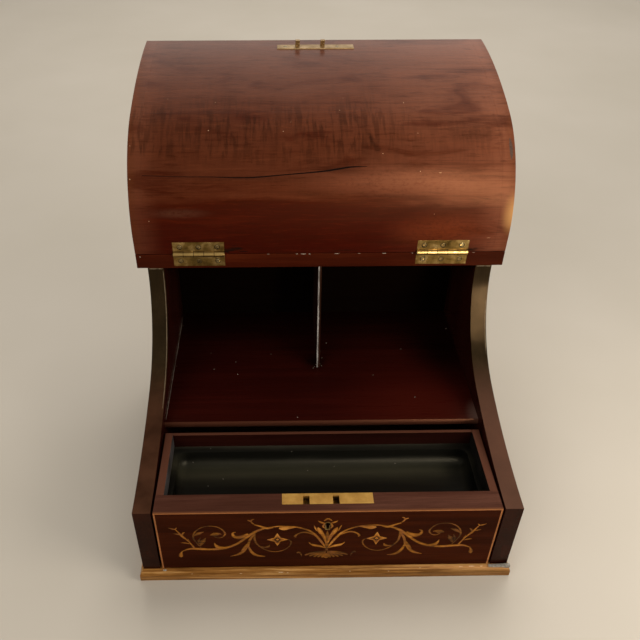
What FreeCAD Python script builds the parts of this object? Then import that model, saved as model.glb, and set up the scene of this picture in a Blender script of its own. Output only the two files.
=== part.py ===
import FreeCAD, Part
import math
import os
import re
import Sketcher

# Table-top stationery cabinet: a coved lid on two butt hinges falls over a pair of pigeonholes and
# locks down onto a pen drawer with an inlaid front.
# The frame has +X to the right, +Y to the back and +Z up, with its origin at the centre of the
# underside of the base board. The lid stands open at rest. Lengths are millimetres, angles degrees.

SIZES = {
    # Carcass
    "carcass_width": 300,
    "carcass_depth": 258,
    "carcass_height": 202.5,
    "side_thickness": 14,
    "base_thickness": 11,
    "base_front_overhang": 4,
    "base_side_overhang": 3,
    "base_nose_radius": 6,
    "front_height": 72.2,
    "top_overhang": 9,
    "top_thickness": 13.5,
    "top_setback": 178,
    "back_thickness": 8,
    "cove_radius_share": 0.85,
    "cove_turn_angle": 72,
    "floor_rise": 74,
    "floor_thickness": 6.5,
    "nosing_radius_share": 0.65,
    "floor_gap": 9.5,
    "partition_thickness": 3,
    "partition_foot_setback": 163,
    "partition_top_inset": 2,
    # Lid
    "lid_thickness": 12,
    "lid_front_overhang": 5,
    "lid_clearance": 0.4,
    "lid_open_angle": 178,
    "veneer_thickness": 1,
    "cleat_width": 11,
    # Butt hinges
    "hinge_inset": 32.5,
    "hinge_length": 44,
    "hinge_lift": 0.35,
    "leaf_width": 12,
    "leaf_thickness": 1.5,
    "knuckle_diameter": 5,
    "hinge_pin_diameter": 2.5,
    "knuckle_gap": 0.25,
    "running_clearance": 0.05,
    # Screws
    "hinge_screw_pitch": 16,
    "hinge_screw_drop": 7,
    "hinge_screw_head": 4.4,
    "hinge_screw_head_height": 1.2,
    "hinge_screw_shank": 2.2,
    "hinge_screw_length": 8,
    "base_screw_inset": 30,
    "base_screw_head": 8,
    "base_screw_head_height": 2.4,
    "base_screw_shank": 4,
    "base_screw_length": 32,
    # Drawer
    "drawer_side_gap": 1.8,
    "drawer_bottom_gap": 0.4,
    "drawer_depth": 83,
    "drawer_front_thickness": 17.3,
    "drawer_wall": 6.5,
    "drawer_back_thickness": 3,
    "drawer_bottom_thickness": 4,
    "drawer_bottom_rise": 2,
    "front_veneer": 0.8,
    "stringing_width": 1.3,
    "drawer_stop_gap": 0.5,
    "drawer_stop_width": 10,
    "drawer_stop_height": 12,
    "tray_drop": 14,
    "tray_floor": 5.2,
    "trough_margin": 3.5,
    "trough_rear_margin": 5.8,
    "trough_depth": 13,
    "trough_corner_share": 0.62,
    "lining_thickness": 0.8,
    "ledge_width": 6,
    # Box lock in the drawer front
    "lock_plate_thickness": 2,
    "lock_ear": 4.5,
    "slot_side_clearance": 0.5,
    "slot_margin": 2.3,
    "left_hook_offset": 16.6,
    "right_hook_offset": 6.6,
    "lock_case_height": 30,
    "lock_case_wall": 1,
    "lock_cap_thickness": 1.2,
    "lock_post_diameter": 2,
    "lock_post_length": 7,
    "keyhole_drop": 16.4,
    "keyhole_diameter": 4,
    "keyhole_skirt_width": 2.2,
    "keyhole_skirt_drop": 6,
    "escutcheon_rim": 0.9,
    "escutcheon_depth": 2,
    "lock_screw_head": 3.6,
    "lock_screw_head_height": 1,
    "lock_screw_shank": 1.8,
    "lock_screw_length": 7,
    "lock_screw_inset": 4,
    # Link plate on the lid, with its two hooks
    "link_plate_thickness": 1.6,
    "link_plate_gap": 0.5,
    "hook_width": 4,
    "hook_height": 6.5,
    "hook_thickness": 3.6,
    "hook_inset": 0.45,
    "hook_back_clearance": 0.2,
    "eye_rise": 2.3,
    "eye_clearance": 0.3,
    "left_link_screw_offset": 28,
    "right_link_screw_offset": 20.5,
    # Lock bolt
    "bolt_travel": 5,
    "bolt_clearance": 0.3,
    "bolt_height": 5.5,
    "bolt_hook_gap": 0.5,
    "bolt_end_gap": 2.6,
    "bolt_arm_width": 3,
    "bolt_standoff": 0.5,
    "bolt_tail": 12,
    "finger_height": 2,
    "finger_width": 1.4,
    "talon_width": 7,
    "talon_height": 2.5,
    # Every cut runs past the wood by this much
    "overrun": 1,
}

# Places worked out from the sizes above.
PLACES = {
    "front_plane": "(base_front_overhang - carcass_depth) / 2",
    "rear_plane": "front_plane + carcass_depth",
    "half_width": "carcass_width / 2",
    "inner_half": "half_width - side_thickness",
    "base_width": "carcass_width + 2 * base_side_overhang",
    "base_depth": "carcass_depth + base_front_overhang",
    "top_width": "carcass_width + 2 * top_overhang",
    "base_top": "base_thickness",
    "board_top": "carcass_height",
    "board_under": "board_top - top_thickness",
    "top_face": "front_plane + top_setback",
    "back_face": "rear_plane - back_thickness",
    # The cove in the front edge of each side: a tight arc below the top board, then a long sweep
    "drawer_top": "base_top + front_height",
    "cove_radius": "(board_under - drawer_top) * cove_radius_share",
    "cove_centre_y": "top_face - cove_radius",
    "cove_joint_y": "cove_centre_y + cove_radius * cos(cove_turn_angle)",
    "cove_joint_z": "board_under - cove_radius * sin(cove_turn_angle)",
    "sweep_run": "cove_joint_y - front_plane",
    "sweep_fall": "cove_joint_z - drawer_top",
    "sweep_radius": "(sweep_run ^ 2 + sweep_fall ^ 2)"
                    " / (2 * (sweep_run * cos(cove_turn_angle) - sweep_fall * sin(cove_turn_angle)))",
    "sweep_centre_y": "cove_joint_y - sweep_radius * cos(cove_turn_angle)",
    "sweep_centre_z": "cove_joint_z + sweep_radius * sin(cove_turn_angle)",
    # Pigeonholes
    "floor_top": "base_top + floor_rise",
    "floor_under": "floor_top - floor_thickness",
    "nosing_radius": "floor_thickness * nosing_radius_share",
    "nosing_bulge": "nosing_radius - sqrt(nosing_radius ^ 2 - floor_thickness ^ 2 / 4)",
    "floor_front": "front_plane + drawer_depth + floor_gap + nosing_bulge",
    "partition_foot": "front_plane + partition_foot_setback",
    "partition_head": "top_face + partition_top_inset",
    # Hinge line
    "lid_face": "top_face - lid_clearance",
    "hinge_y": "top_face - lid_clearance / 2",
    "hinge_z": "board_top + hinge_lift",
    "leaf_foot": "hinge_z - leaf_width",
    "screw_row": "hinge_z - hinge_screw_drop",
    "hinge_spacing": "top_width - hinge_length - 2 * hinge_inset",
    "knuckle_pitch": "hinge_length / 5",
    "knuckle_length": "knuckle_pitch - knuckle_gap",
    "lid_end": "front_plane - lid_front_overhang",
    "lid_half": "top_width / 2",
    "core_half": "lid_half - cleat_width",
    # Drawer
    "drawer_half": "inner_half - drawer_side_gap",
    "drawer_width": "2 * drawer_half",
    "drawer_foot": "base_top + drawer_bottom_gap",
    "drawer_height": "drawer_top - drawer_foot",
    "drawer_inner_half": "drawer_half - drawer_wall",
    "drawer_front_core": "front_plane + front_veneer",
    "drawer_front_inside": "front_plane + drawer_front_thickness",
    "drawer_rear": "front_plane + drawer_depth",
    "drawer_back_inside": "drawer_rear - drawer_back_thickness",
    "drawer_bottom_under": "drawer_foot + drawer_bottom_rise",
    "drawer_bottom_top": "drawer_bottom_under + drawer_bottom_thickness",
    "wall_length": "drawer_rear - drawer_front_inside",
    "tray_length": "drawer_back_inside - drawer_front_inside",
    "tray_rim": "drawer_top - tray_drop",
    "tray_top": "tray_rim - lining_thickness",
    "tray_under": "tray_top - trough_depth - tray_floor",
    "trough_front": "drawer_front_inside + trough_margin",
    "trough_rear": "drawer_back_inside - trough_rear_margin",
    "trough_half": "drawer_inner_half - trough_margin",
    "trough_foot": "tray_top - trough_depth",
    "trough_corner": "trough_depth * trough_corner_share",
    # Hooks on the lid lean along the arc that they swing through, and the lock is as wide as they need
    "hook_lean": "(hinge_z - drawer_top) / (hinge_y - drawer_front_inside)",
    "hook_run": "hook_lean * hook_height",
    "lock_plate_width": "hook_inset + hook_thickness + hook_run + hook_back_clearance"
                        " + lock_cap_thickness",
    "lock_front": "drawer_front_inside - lock_plate_width",
    "link_under": "drawer_top + link_plate_gap",
    "hook_front": "lock_front + hook_inset",
    "hook_rear": "hook_front + hook_thickness",
    "hook_tip": "link_under - hook_height",
    "hook_tip_front": "hook_front + hook_run",
    "hook_tip_rear": "hook_rear + hook_run",
    "eye_axis": "hook_tip + eye_rise",
    "eye_middle": "(hook_front + hook_rear) / 2 + hook_lean * (hook_height - eye_rise)",
    "eye_height": "finger_height + 2 * eye_clearance",
    "eye_width": "finger_width + 2 * eye_clearance",
    "slot_width": "hook_width + 2 * slot_side_clearance",
    "slot_length": "lock_plate_width - slot_margin",
    # Bolt, and the lock case and plate round it
    "lock_plate_under": "drawer_top - lock_plate_thickness",
    "lock_case_foot": "lock_plate_under - lock_case_height",
    "lock_cap_face": "drawer_front_inside - lock_cap_thickness",
    "key_axis": "drawer_top - keyhole_drop",
    "finger_length": "bolt_travel + bolt_clearance",
    "finger_tip_offset": "hook_width / 2 + bolt_standoff",
    "bolt_top": "hook_tip - bolt_hook_gap",
    "bolt_foot": "bolt_top - bolt_height",
    "bolt_front": "lock_front + lock_case_wall + bolt_clearance",
    "bolt_thickness": "lock_cap_face - bolt_clearance - bolt_front",
    "arm_offset": "finger_tip_offset + finger_length + bolt_arm_width",
    "arm_height": "eye_axis + finger_height / 2 - bolt_foot",
    "bolt_left": "left_hook_offset + arm_offset",
    "bolt_length": "bolt_left + bolt_tail",
    "lock_case_length": "2 * (bolt_left + bolt_end_gap + lock_case_wall)",
    "lock_plate_length": "lock_case_length + 2 * lock_ear",
}

# Depths of the layers of the closed lid, measured from the cove that it lies in.
LID_LAYERS = {
    "show": "lid_clearance",
    "under": "lid_clearance + veneer_thickness",
    "over": "lid_clearance + lid_thickness - veneer_thickness",
    "outer": "lid_clearance + lid_thickness",
}

for layer, depth in LID_LAYERS.items():
    PLACES.update({
        layer + "_y": f"top_face - ({depth})",
        layer + "_radius": f"cove_radius - ({depth})",
        layer + "_sweep": f"sweep_radius - ({depth})",
        layer + "_joint_y": f"cove_centre_y + {layer}_radius * cos(cove_turn_angle)",
        layer + "_joint_z": f"board_under - {layer}_radius * sin(cove_turn_angle)",
    })
PLACES.update({
    "lid_end_drop": "sqrt(show_sweep ^ 2 - (lid_end - sweep_centre_y) ^ 2)",
})
for layer in LID_LAYERS:
    PLACES.update({
        layer + "_end_y": f"sweep_centre_y + (lid_end - sweep_centre_y) * {layer}_sweep / show_sweep",
        layer + "_end_z": f"sweep_centre_z - lid_end_drop * {layer}_sweep / show_sweep",
    })

doc = FreeCAD.newDocument("stationery_cabinet")
dims = doc.addObject("Spreadsheet::Sheet", "dims")
places = doc.addObject("Spreadsheet::Sheet", "places")
nodes = {}


def expression(text, inside_places=False):
    """The formula with the sheet's name put before each size or place in it."""
    def full_name(match):
        word = match.group()
        if word in SIZES:
            return "dims." + word
        if word in PLACES and not inside_places:
            return "places." + word
        return word
    return re.sub(r"[a-z][a-z_]*", full_name, text)


def fill_sheets():
    """Write the sizes as plain numbers and the places as formulas, each with its name."""
    for row, (name, number) in enumerate(SIZES.items(), start=1):
        dims.set(f"A{row}", name)
        dims.set(f"B{row}", str(number))
        dims.setAlias(f"B{row}", name)
    doc.recompute()
    for row, name in enumerate(PLACES, start=1):
        places.set(f"A{row}", name)
        places.setAlias(f"B{row}", name)
    for row, text in enumerate(PLACES.values(), start=1):
        places.set(f"B{row}", "=" + expression(text, inside_places=True))
    doc.recompute()


def value(name):
    """The number that a size or place has."""
    sheet = dims if name in SIZES else places
    return float(sheet.get(name))


def node(name, part):
    """Make an object of the document one of the finished sub-parts."""
    part.Label = name
    nodes[name] = part
    return part


def place(part, corner):
    """Bind the position of a part to three formulas."""
    for axis, text in zip("xyz", corner):
        part.setExpression("Placement.Base." + axis, expression(text))
    return part


def box(name, extents, corner):
    """A block with its lowest corner at the given place."""
    part = doc.addObject("Part::Box", name)
    for side, text in zip(("Length", "Width", "Height"), extents):
        part.setExpression(side, expression(text))
    return place(part, corner)


def rod(name, radius, length, start, turn=None):
    """A cylinder from its start point, along +Z or along the direction that the turn gives."""
    part = doc.addObject("Part::Cylinder", name)
    part.setExpression("Radius", expression(radius))
    part.setExpression("Height", expression(length))
    if turn:
        part.Placement = FreeCAD.Placement(FreeCAD.Vector(), turn)
    return place(part, start)


def fuse(name, parts):
    """Join parts into one."""
    joined = doc.addObject("Part::MultiFuse", name)
    joined.Shapes = parts
    return joined


def cut(name, blank, tools):
    """Take the tools away from a blank."""
    result = doc.addObject("Part::Cut", name)
    result.Base = blank
    result.Tool = tools[0] if len(tools) == 1 else fuse(name + "_tools", tools)
    return result


def solid(name, shape):
    """A sub-part or tool given by a finished shape."""
    part = doc.addObject("Part::Feature", name)
    part.Shape = shape
    return part


ALONG_X = FreeCAD.Rotation(FreeCAD.Vector(0, 1, 0), 90)
ALONG_Y = FreeCAD.Rotation(FreeCAD.Vector(1, 0, 0), -90)
AGAINST_Y = FreeCAD.Rotation(FreeCAD.Vector(1, 0, 0), 90)
UPRIGHT = FreeCAD.Rotation()


def arc_between(start, end, radius):
    """The short arc from start to end that bulges to the left of that direction."""
    chord = end - start
    half = chord.Length / 2
    sagitta = radius - math.sqrt(radius ** 2 - half ** 2)
    left = FreeCAD.Vector(-chord.y, chord.x, 0).normalize()
    return Part.Arc(start, (start + end) / 2 + left * sagitta, end)


def moulding(name, corners, arcs, start, length):
    """A board along X with its outline, as named Y and Z places, drawn across it.

    An entry of arcs gives the radius of the arc from that corner to the next, and whether it
    bulges to the left.
    """
    body = doc.addObject("PartDesign::Body", name)
    sketch = body.newObject("Sketcher::SketchObject", name + "_outline")
    plane = next(item for item in body.Origin.OriginFeatures if item.Role == "YZ_Plane")
    sketch.AttachmentSupport = (plane, "")
    sketch.MapMode = "FlatFace"
    sketch.setExpression("AttachmentOffset.Base.z", expression(start))
    points = [FreeCAD.Vector(value(y), value(z), 0) for y, z in corners]
    ends = []
    for index, point in enumerate(points):
        following = points[(index + 1) % len(points)]
        if index in arcs:
            radius, to_left = arcs[index]
            if to_left:
                curve = arc_between(point, following, value(radius))
            else:
                curve = arc_between(following, point, value(radius))
        else:
            curve = Part.LineSegment(point, following)
        geometry = sketch.addGeometry(curve)
        first = sketch.getPoint(geometry, 1)
        forward = first.distanceToPoint(point) < first.distanceToPoint(following)
        ends.append((1, 2) if forward else (2, 1))
    for index, (y, z) in enumerate(corners):
        previous = index - 1 if index else len(corners) - 1
        sketch.addConstraint(Sketcher.Constraint("Coincident", previous, ends[previous][1],
                                                 index, ends[index][0]))
        for kind, name_of_place in (("DistanceX", y), ("DistanceY", z)):
            rule = sketch.addConstraint(Sketcher.Constraint(kind, index, ends[index][0],
                                                            value(name_of_place)))
            sketch.setExpression(f"Constraints[{rule}]", expression(name_of_place))
        if index in arcs:
            radius = arcs[index][0]
            rule = sketch.addConstraint(Sketcher.Constraint("Radius", index, value(radius)))
            sketch.setExpression(f"Constraints[{rule}]", expression(radius))
    pad = body.newObject("PartDesign::Pad", name + "_pad")
    pad.Profile = sketch
    pad.setExpression("Length", expression(length))
    return body


def screw(kind, grow=0.0, slotted=True):
    """A countersunk screw that points along +Z, with the face of its head at the origin."""
    head = value(kind + "_screw_head") / 2 + grow
    depth = value(kind + "_screw_head_height")
    shank = value(kind + "_screw_shank") / 2 + grow
    length = value(kind + "_screw_length")
    shape = Part.makeCone(head, shank, depth)
    shape = shape.fuse(Part.makeCylinder(shank, length + grow)).removeSplitter()
    if slotted:
        width = depth / 2
        slot = Part.makeBox(2 * head, width, width, FreeCAD.Vector(-head, -width / 2, 0))
        shape = shape.cut(slot)
    return shape


def screws(kind, spots, turn, grow=0.0, slotted=True):
    """A group of equal screws, one at each spot."""
    copies = []
    for spot in spots:
        copy = screw(kind, grow, slotted)
        copy.Placement = FreeCAD.Placement(FreeCAD.Vector(*spot), turn)
        copies.append(copy)
    return Part.makeCompound(copies)


def screw_holes(name, kind, spots, turn):
    """The holes that a group of screws sits in."""
    return solid(name, screws(kind, spots, turn, value("running_clearance"), slotted=False))


def swing_open(part):
    """Turn a piece of the closed lid about the hinge line to where it stands open."""
    axis = FreeCAD.Vector(0, value("hinge_y"), value("hinge_z"))
    turn = FreeCAD.Rotation(FreeCAD.Vector(1, 0, 0), -value("lid_open_angle"))
    part.Placement = FreeCAD.Placement(FreeCAD.Vector(), turn, axis)
    return part


SIDES = (("left", -1), ("right", 1))


def hinge_spots(depth):
    """The centres of the screw heads of both hinges, at the given place in Y."""
    spots = []
    for _, sign in SIDES:
        centre = sign * value("hinge_spacing") / 2
        for step in (-1, 0, 1):
            spots.append((centre + step * value("hinge_screw_pitch"), value(depth), value("screw_row")))
    return spots


def make_base():
    """The base board, with its front and end edges rounded over on top."""
    blank = box("base_blank", ("base_width", "base_depth", "base_thickness"),
                ("-base_width / 2", "-base_depth / 2", "0"))
    doc.recompute()
    rounded = doc.addObject("Part::Fillet", "base_rounded")
    rounded.Base = blank
    radius = value("base_nose_radius")
    edges = []
    for number, edge in enumerate(blank.Shape.Edges, start=1):
        centre = edge.CenterOfMass
        on_top = abs(centre.z - value("base_thickness")) < value("overrun") / 2
        at_rear = centre.y > value("base_depth") / 2 - value("overrun")
        if on_top and not at_rear:
            edges.append((number, radius, radius))
    rounded.Edges = edges
    spots = base_screw_spots()
    holes = screw_holes("base_screw_holes", "base", spots, UPRIGHT)
    node("base_board", cut("base_board", rounded, [holes]))
    node("base_screws", solid("base_screws", screws("base", spots, UPRIGHT)))


def base_screw_spots():
    """Three screws up into the foot of each side."""
    reach = value("carcass_depth") / 2 - value("base_screw_inset")
    middle = (value("front_plane") + value("rear_plane")) / 2
    spots = []
    for _, sign in SIDES:
        for step in (-1, 0, 1):
            across = sign * (value("half_width") - value("side_thickness") / 2)
            spots.append((across, middle + step * reach, 0))
    return spots


def make_sides():
    """The two sides, coved along the front edge."""
    corners = [("front_plane", "base_top"), ("front_plane", "drawer_top"),
               ("cove_joint_y", "cove_joint_z"), ("top_face", "board_under"),
               ("rear_plane", "board_under"), ("rear_plane", "base_top")]
    arcs = {1: ("sweep_radius", False), 2: ("cove_radius", False)}
    for side, sign in SIDES:
        start = "-half_width" if sign < 0 else "inner_half"
        blank = moulding(side + "_side_blank", corners, arcs, start, "side_thickness")
        holes = screw_holes(side + "_side_holes", "base", base_screw_spots(), UPRIGHT)
        node(side + "_side", cut(side + "_side", blank, [holes]))


def make_interior():
    """The back, the floor of the pigeonholes, the partition and the stop behind the drawer."""
    node("back_panel", box("back_panel", ("2 * inner_half", "back_thickness", "board_under - base_top"),
                           ("-inner_half", "back_face", "base_top")))
    corners = [("floor_front", "floor_under"), ("floor_front", "floor_top"),
               ("back_face", "floor_top"), ("back_face", "floor_under")]
    node("pigeonhole_floor", moulding("pigeonhole_floor", corners, {0: ("nosing_radius", True)},
                                      "-inner_half", "2 * inner_half"))
    corners = [("partition_foot", "floor_top"), ("partition_head", "board_under"),
               ("back_face", "board_under"), ("back_face", "floor_top")]
    node("partition", moulding("partition", corners, {}, "-partition_thickness / 2",
                               "partition_thickness"))
    node("drawer_stop", box("drawer_stop",
                            ("2 * inner_half", "drawer_stop_width", "drawer_stop_height"),
                            ("-inner_half", "drawer_rear + drawer_stop_gap", "base_top")))


def knuckle_rods(name, sign, steps, grow, length):
    """Barrels round the hinge line at the given knuckles."""
    rods = []
    for step in steps:
        middle = f"{sign} * hinge_spacing / 2 - hinge_length / 2 + ({step} + 1 / 2) * knuckle_pitch"
        start = f"{middle} - ({length}) / 2"
        rods.append(rod(f"{name}_{step}", f"knuckle_diameter / 2 + {grow}", length,
                        (start, "hinge_y", "hinge_z"), ALONG_X))
    return rods


CARCASS_KNUCKLES = (0, 2, 4)
LID_KNUCKLES = (1, 3)


def make_hinge(side, sign):
    """One butt hinge: a leaf on the top board, a leaf on the lid and the pin between them."""
    left_end = f"{sign} * hinge_spacing / 2 - hinge_length / 2"
    pin_hole = rod(side + "_pin_hole", "hinge_pin_diameter / 2 + running_clearance",
                   "hinge_length + 2 * overrun",
                   (left_end + " - overrun", "hinge_y", "hinge_z"), ALONG_X)
    pin = rod(side + "_hinge_pin", "hinge_pin_diameter / 2", "hinge_length",
              (left_end, "hinge_y", "hinge_z"), ALONG_X)
    node(side + "_hinge_pin", pin)
    leaves = (("carcass", "top_face", CARCASS_KNUCKLES, LID_KNUCKLES, ALONG_Y, "top_face"),
              ("lid", "lid_face - leaf_thickness", LID_KNUCKLES, CARCASS_KNUCKLES, AGAINST_Y,
               "lid_face"))
    for owner, plate_face, own, other, turn, screw_face in leaves:
        name = f"{side}_hinge_{owner}_leaf"
        plate = box(name + "_plate", ("hinge_length", "leaf_thickness", "leaf_width"),
                    (left_end, plate_face, "leaf_foot"))
        barrels = knuckle_rods(name + "_barrel", sign, own, "0", "knuckle_length")
        gaps = knuckle_rods(name + "_gap", sign, other, "knuckle_gap", "knuckle_pitch + knuckle_gap")
        holes = screw_holes(name + "_holes", "hinge", hinge_spots(screw_face), turn)
        notched = cut(name + "_notched", plate, gaps)
        leaf = cut(name, fuse(name + "_blank", [notched] + barrels), [pin_hole, holes])
        node(name, swing_open(leaf) if owner == "lid" else leaf)


def hinge_recesses(name, face):
    """Room in the wood for both hinges: the leaves let in flush and the barrels clear."""
    tools = []
    for side, sign in SIDES:
        left_end = f"{sign} * hinge_spacing / 2 - hinge_length / 2"
        tools.append(box(f"{name}_{side}_leaf_bed",
                         ("hinge_length", "leaf_thickness", "leaf_width + overrun"),
                         (left_end, face, "leaf_foot")))
        tools.append(rod(f"{name}_{side}_barrel_bed", "knuckle_diameter / 2 + knuckle_gap",
                         "hinge_length + 2 * knuckle_gap",
                         (left_end + " - knuckle_gap", "hinge_y", "hinge_z"), ALONG_X))
    return tools


def make_top():
    """The top board, whose front edge carries the hinges."""
    blank = box("top_blank", ("top_width", "rear_plane - top_face", "top_thickness"),
                ("-lid_half", "top_face", "board_under"))
    holes = screw_holes("top_screw_holes", "hinge", hinge_spots("top_face"), ALONG_Y)
    node("top_board", cut("top_board", blank, hinge_recesses("top", "top_face") + [holes]))
    node("carcass_hinge_screws", solid("carcass_hinge_screws",
                                       screws("hinge", hinge_spots("top_face"), ALONG_Y)))


def link_screw_spots():
    """The two screws of the link plate."""
    middle = value("lock_front") + value("lock_plate_width") / 2
    return [(-value("left_link_screw_offset"), middle, value("link_under")),
            (value("right_link_screw_offset"), middle, value("link_under"))]


def lid_outline(near, far):
    """The outline of the closed lid between two of its layers."""
    return [(near + "_y", "board_top"), (near + "_y", "board_under"),
            (near + "_joint_y", near + "_joint_z"), (near + "_end_y", near + "_end_z"),
            (far + "_end_y", far + "_end_z"), (far + "_joint_y", far + "_joint_z"),
            (far + "_y", "board_under"), (far + "_y", "board_top")]


def make_lid():
    """The coved lid: a core with a veneer on each face and a cleat on each end."""
    layers = (("lid_inner_veneer", "show", "under"), ("lid_core", "under", "over"),
              ("lid_outer_veneer", "over", "outer"))
    recesses = hinge_recesses("lid", "lid_face - leaf_thickness")
    recesses.append(screw_holes("lid_screw_holes", "hinge", hinge_spots("lid_face"), AGAINST_Y))
    recesses.append(box("link_bed",
                        ("lock_plate_length", "lock_plate_width", "link_plate_thickness + overrun"),
                        ("-lock_plate_length / 2", "lock_front", "link_under - overrun")))
    recesses.append(screw_holes("link_screw_holes", "lock", link_screw_spots(), UPRIGHT))
    for name, near, far in layers:
        arcs = {1: (near + "_radius", True), 2: (near + "_sweep", True),
                4: (far + "_sweep", False), 5: (far + "_radius", False)}
        blank = moulding(name + "_blank", lid_outline(near, far), arcs, "-core_half", "2 * core_half")
        node(name, swing_open(cut(name, blank, recesses)))
    for side, sign in SIDES:
        start = "-lid_half" if sign < 0 else "core_half"
        arcs = {1: ("show_radius", True), 2: ("show_sweep", True),
                4: ("outer_sweep", False), 5: ("outer_radius", False)}
        name = f"lid_{side}_cleat"
        node(name, swing_open(moulding(name, lid_outline("show", "outer"), arcs, start, "cleat_width")))
    lid_screws = solid("lid_hinge_screws", screws("hinge", hinge_spots("lid_face"), AGAINST_Y))
    node("lid_hinge_screws", swing_open(lid_screws))


HOOKS = (("left", "-left_hook_offset"), ("right", "right_hook_offset"))


def make_link_plate():
    """The link plate under the free end of the lid, with two eyed hooks that enter the lock."""
    pieces = [box("link_plate_blank", ("lock_plate_length", "lock_plate_width", "link_plate_thickness"),
                  ("-lock_plate_length / 2", "lock_front", "link_under"))]
    eyes = [screw_holes("link_plate_holes", "lock", link_screw_spots(), UPRIGHT)]
    corners = [("hook_front", "link_under"), ("hook_rear", "link_under"),
               ("hook_tip_rear", "hook_tip"), ("hook_tip_front", "hook_tip")]
    for side, offset in HOOKS:
        pieces.append(moulding(side + "_hook", corners, {}, f"{offset} - hook_width / 2", "hook_width"))
        eyes.append(box(side + "_eye", ("hook_width + 2 * overrun", "eye_width", "eye_height"),
                        (f"{offset} - hook_width / 2 - overrun", "eye_middle - eye_width / 2",
                         "eye_axis - eye_height / 2")))
    node("link_plate", swing_open(cut("link_plate", fuse("link_plate_joined", pieces), eyes)))
    link_screws = solid("link_plate_screws", screws("lock", link_screw_spots(), UPRIGHT))
    node("link_plate_screws", swing_open(link_screws))


def keyhole(name, rim, start, length):
    """A keyhole through the front, or with a rim, the outline of its escutcheon."""
    barrel = rod(name + "_barrel", f"keyhole_diameter / 2 + {rim}", length,
                 ("0", start, "key_axis"), ALONG_Y)
    skirt = box(name + "_skirt",
                (f"keyhole_skirt_width + 2 * {rim}", length, f"keyhole_skirt_drop + {rim}"),
                (f"-keyhole_skirt_width / 2 - {rim}", start, f"key_axis - keyhole_skirt_drop - {rim}"))
    return fuse(name, [barrel, skirt])


def make_drawer_front():
    """The drawer front with its face veneer, stringing and escutcheon."""
    strings = [box("top_string", ("drawer_width", "stringing_width", "stringing_width"),
                   ("-drawer_half", "front_plane", "drawer_top - stringing_width"))]
    for side, sign in SIDES:
        start = "-drawer_half" if sign < 0 else "drawer_half - stringing_width"
        strings.append(box(side + "_string",
                           ("stringing_width", "stringing_width", "drawer_height - stringing_width"),
                           (start, "front_plane", "drawer_foot")))
    node("drawer_stringing", solid_group("drawer_stringing", strings))
    through = keyhole("keyhole", "0", "front_plane - overrun", "drawer_front_thickness + 2 * overrun")
    bed = keyhole("escutcheon_bed", "escutcheon_rim", "front_plane - overrun",
                  "escutcheon_depth + overrun")
    blank = box("drawer_front_blank",
                ("drawer_width", "drawer_front_inside - drawer_front_core", "drawer_height"),
                ("-drawer_half", "drawer_front_core", "drawer_foot"))
    plate_bed = box("lock_plate_bed", ("lock_plate_length", "lock_plate_width + overrun",
                                       "lock_plate_thickness + overrun"),
                    ("-lock_plate_length / 2", "lock_front", "lock_plate_under"))
    case_bed = box("lock_case_bed", ("lock_case_length", "lock_plate_width + overrun",
                                     "lock_case_height + overrun"),
                   ("-lock_case_length / 2", "lock_front", "lock_case_foot"))
    cap_bed = box("lock_cap_bed",
                  ("lock_plate_length", "lock_cap_thickness + overrun", "lock_case_height"),
                  ("-lock_plate_length / 2", "lock_cap_face", "lock_case_foot"))
    holes = screw_holes("lock_screw_holes", "lock", lock_screw_spots(), AGAINST_Y)
    beds = [bed, plate_bed, case_bed, cap_bed]
    node("drawer_front", cut("drawer_front", blank, strings + beds + [through, holes]))
    veneer = box("veneer_blank", ("drawer_width - 2 * stringing_width", "front_veneer",
                                  "drawer_height - stringing_width"),
                 ("-drawer_half + stringing_width", "front_plane", "drawer_foot"))
    node("drawer_front_veneer", cut("drawer_front_veneer", veneer, [bed]))
    ring = keyhole("escutcheon_ring", "escutcheon_rim", "front_plane", "escutcheon_depth")
    node("keyhole_escutcheon", cut("keyhole_escutcheon", ring, [through]))


def solid_group(name, parts):
    """Several separate pieces kept together as one sub-part."""
    group = doc.addObject("Part::Compound", name)
    group.Links = parts
    return group


def make_drawer_box():
    """The drawer behind its front: walls, back, bottom and the ledges under the pen tray."""
    for side, sign in SIDES:
        start = "-drawer_half" if sign < 0 else "drawer_inner_half"
        node(f"drawer_{side}_wall", box(f"drawer_{side}_wall",
                                        ("drawer_wall", "wall_length", "drawer_height"),
                                        (start, "drawer_front_inside", "drawer_foot")))
        start = "-drawer_inner_half" if sign < 0 else "drawer_inner_half - ledge_width"
        node(f"{side}_tray_ledge", box(f"{side}_tray_ledge",
                                       ("ledge_width", "tray_length", "tray_under - drawer_bottom_top"),
                                       (start, "drawer_front_inside", "drawer_bottom_top")))
    node("drawer_back", box("drawer_back",
                            ("2 * drawer_inner_half", "drawer_back_thickness", "drawer_height"),
                            ("-drawer_inner_half", "drawer_back_inside", "drawer_foot")))
    node("drawer_bottom", box("drawer_bottom", ("2 * drawer_inner_half", "tray_length",
                                                "drawer_bottom_thickness"),
                              ("-drawer_inner_half", "drawer_front_inside", "drawer_bottom_under")))


def trough(name, skin, rise):
    """The hollow of the pen tray with rounded corners, less a skin, up to a rise above the rim."""
    radius = value("trough_corner") - skin
    foot = value("trough_foot") + skin
    rim = value("tray_rim") + rise
    width = value("trough_rear") - value("trough_front") - 2 * skin
    half = value("trough_half") - skin
    corner = FreeCAD.Vector(-half, value("trough_front") + skin, foot)
    shape = Part.makeBox(2 * half, width, rim - foot, corner)
    rounded = [edge for edge in shape.Edges if edge.BoundBox.ZMin < (foot + rim) / 2]
    return solid(name, shape.makeFillet(radius, rounded))


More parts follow.
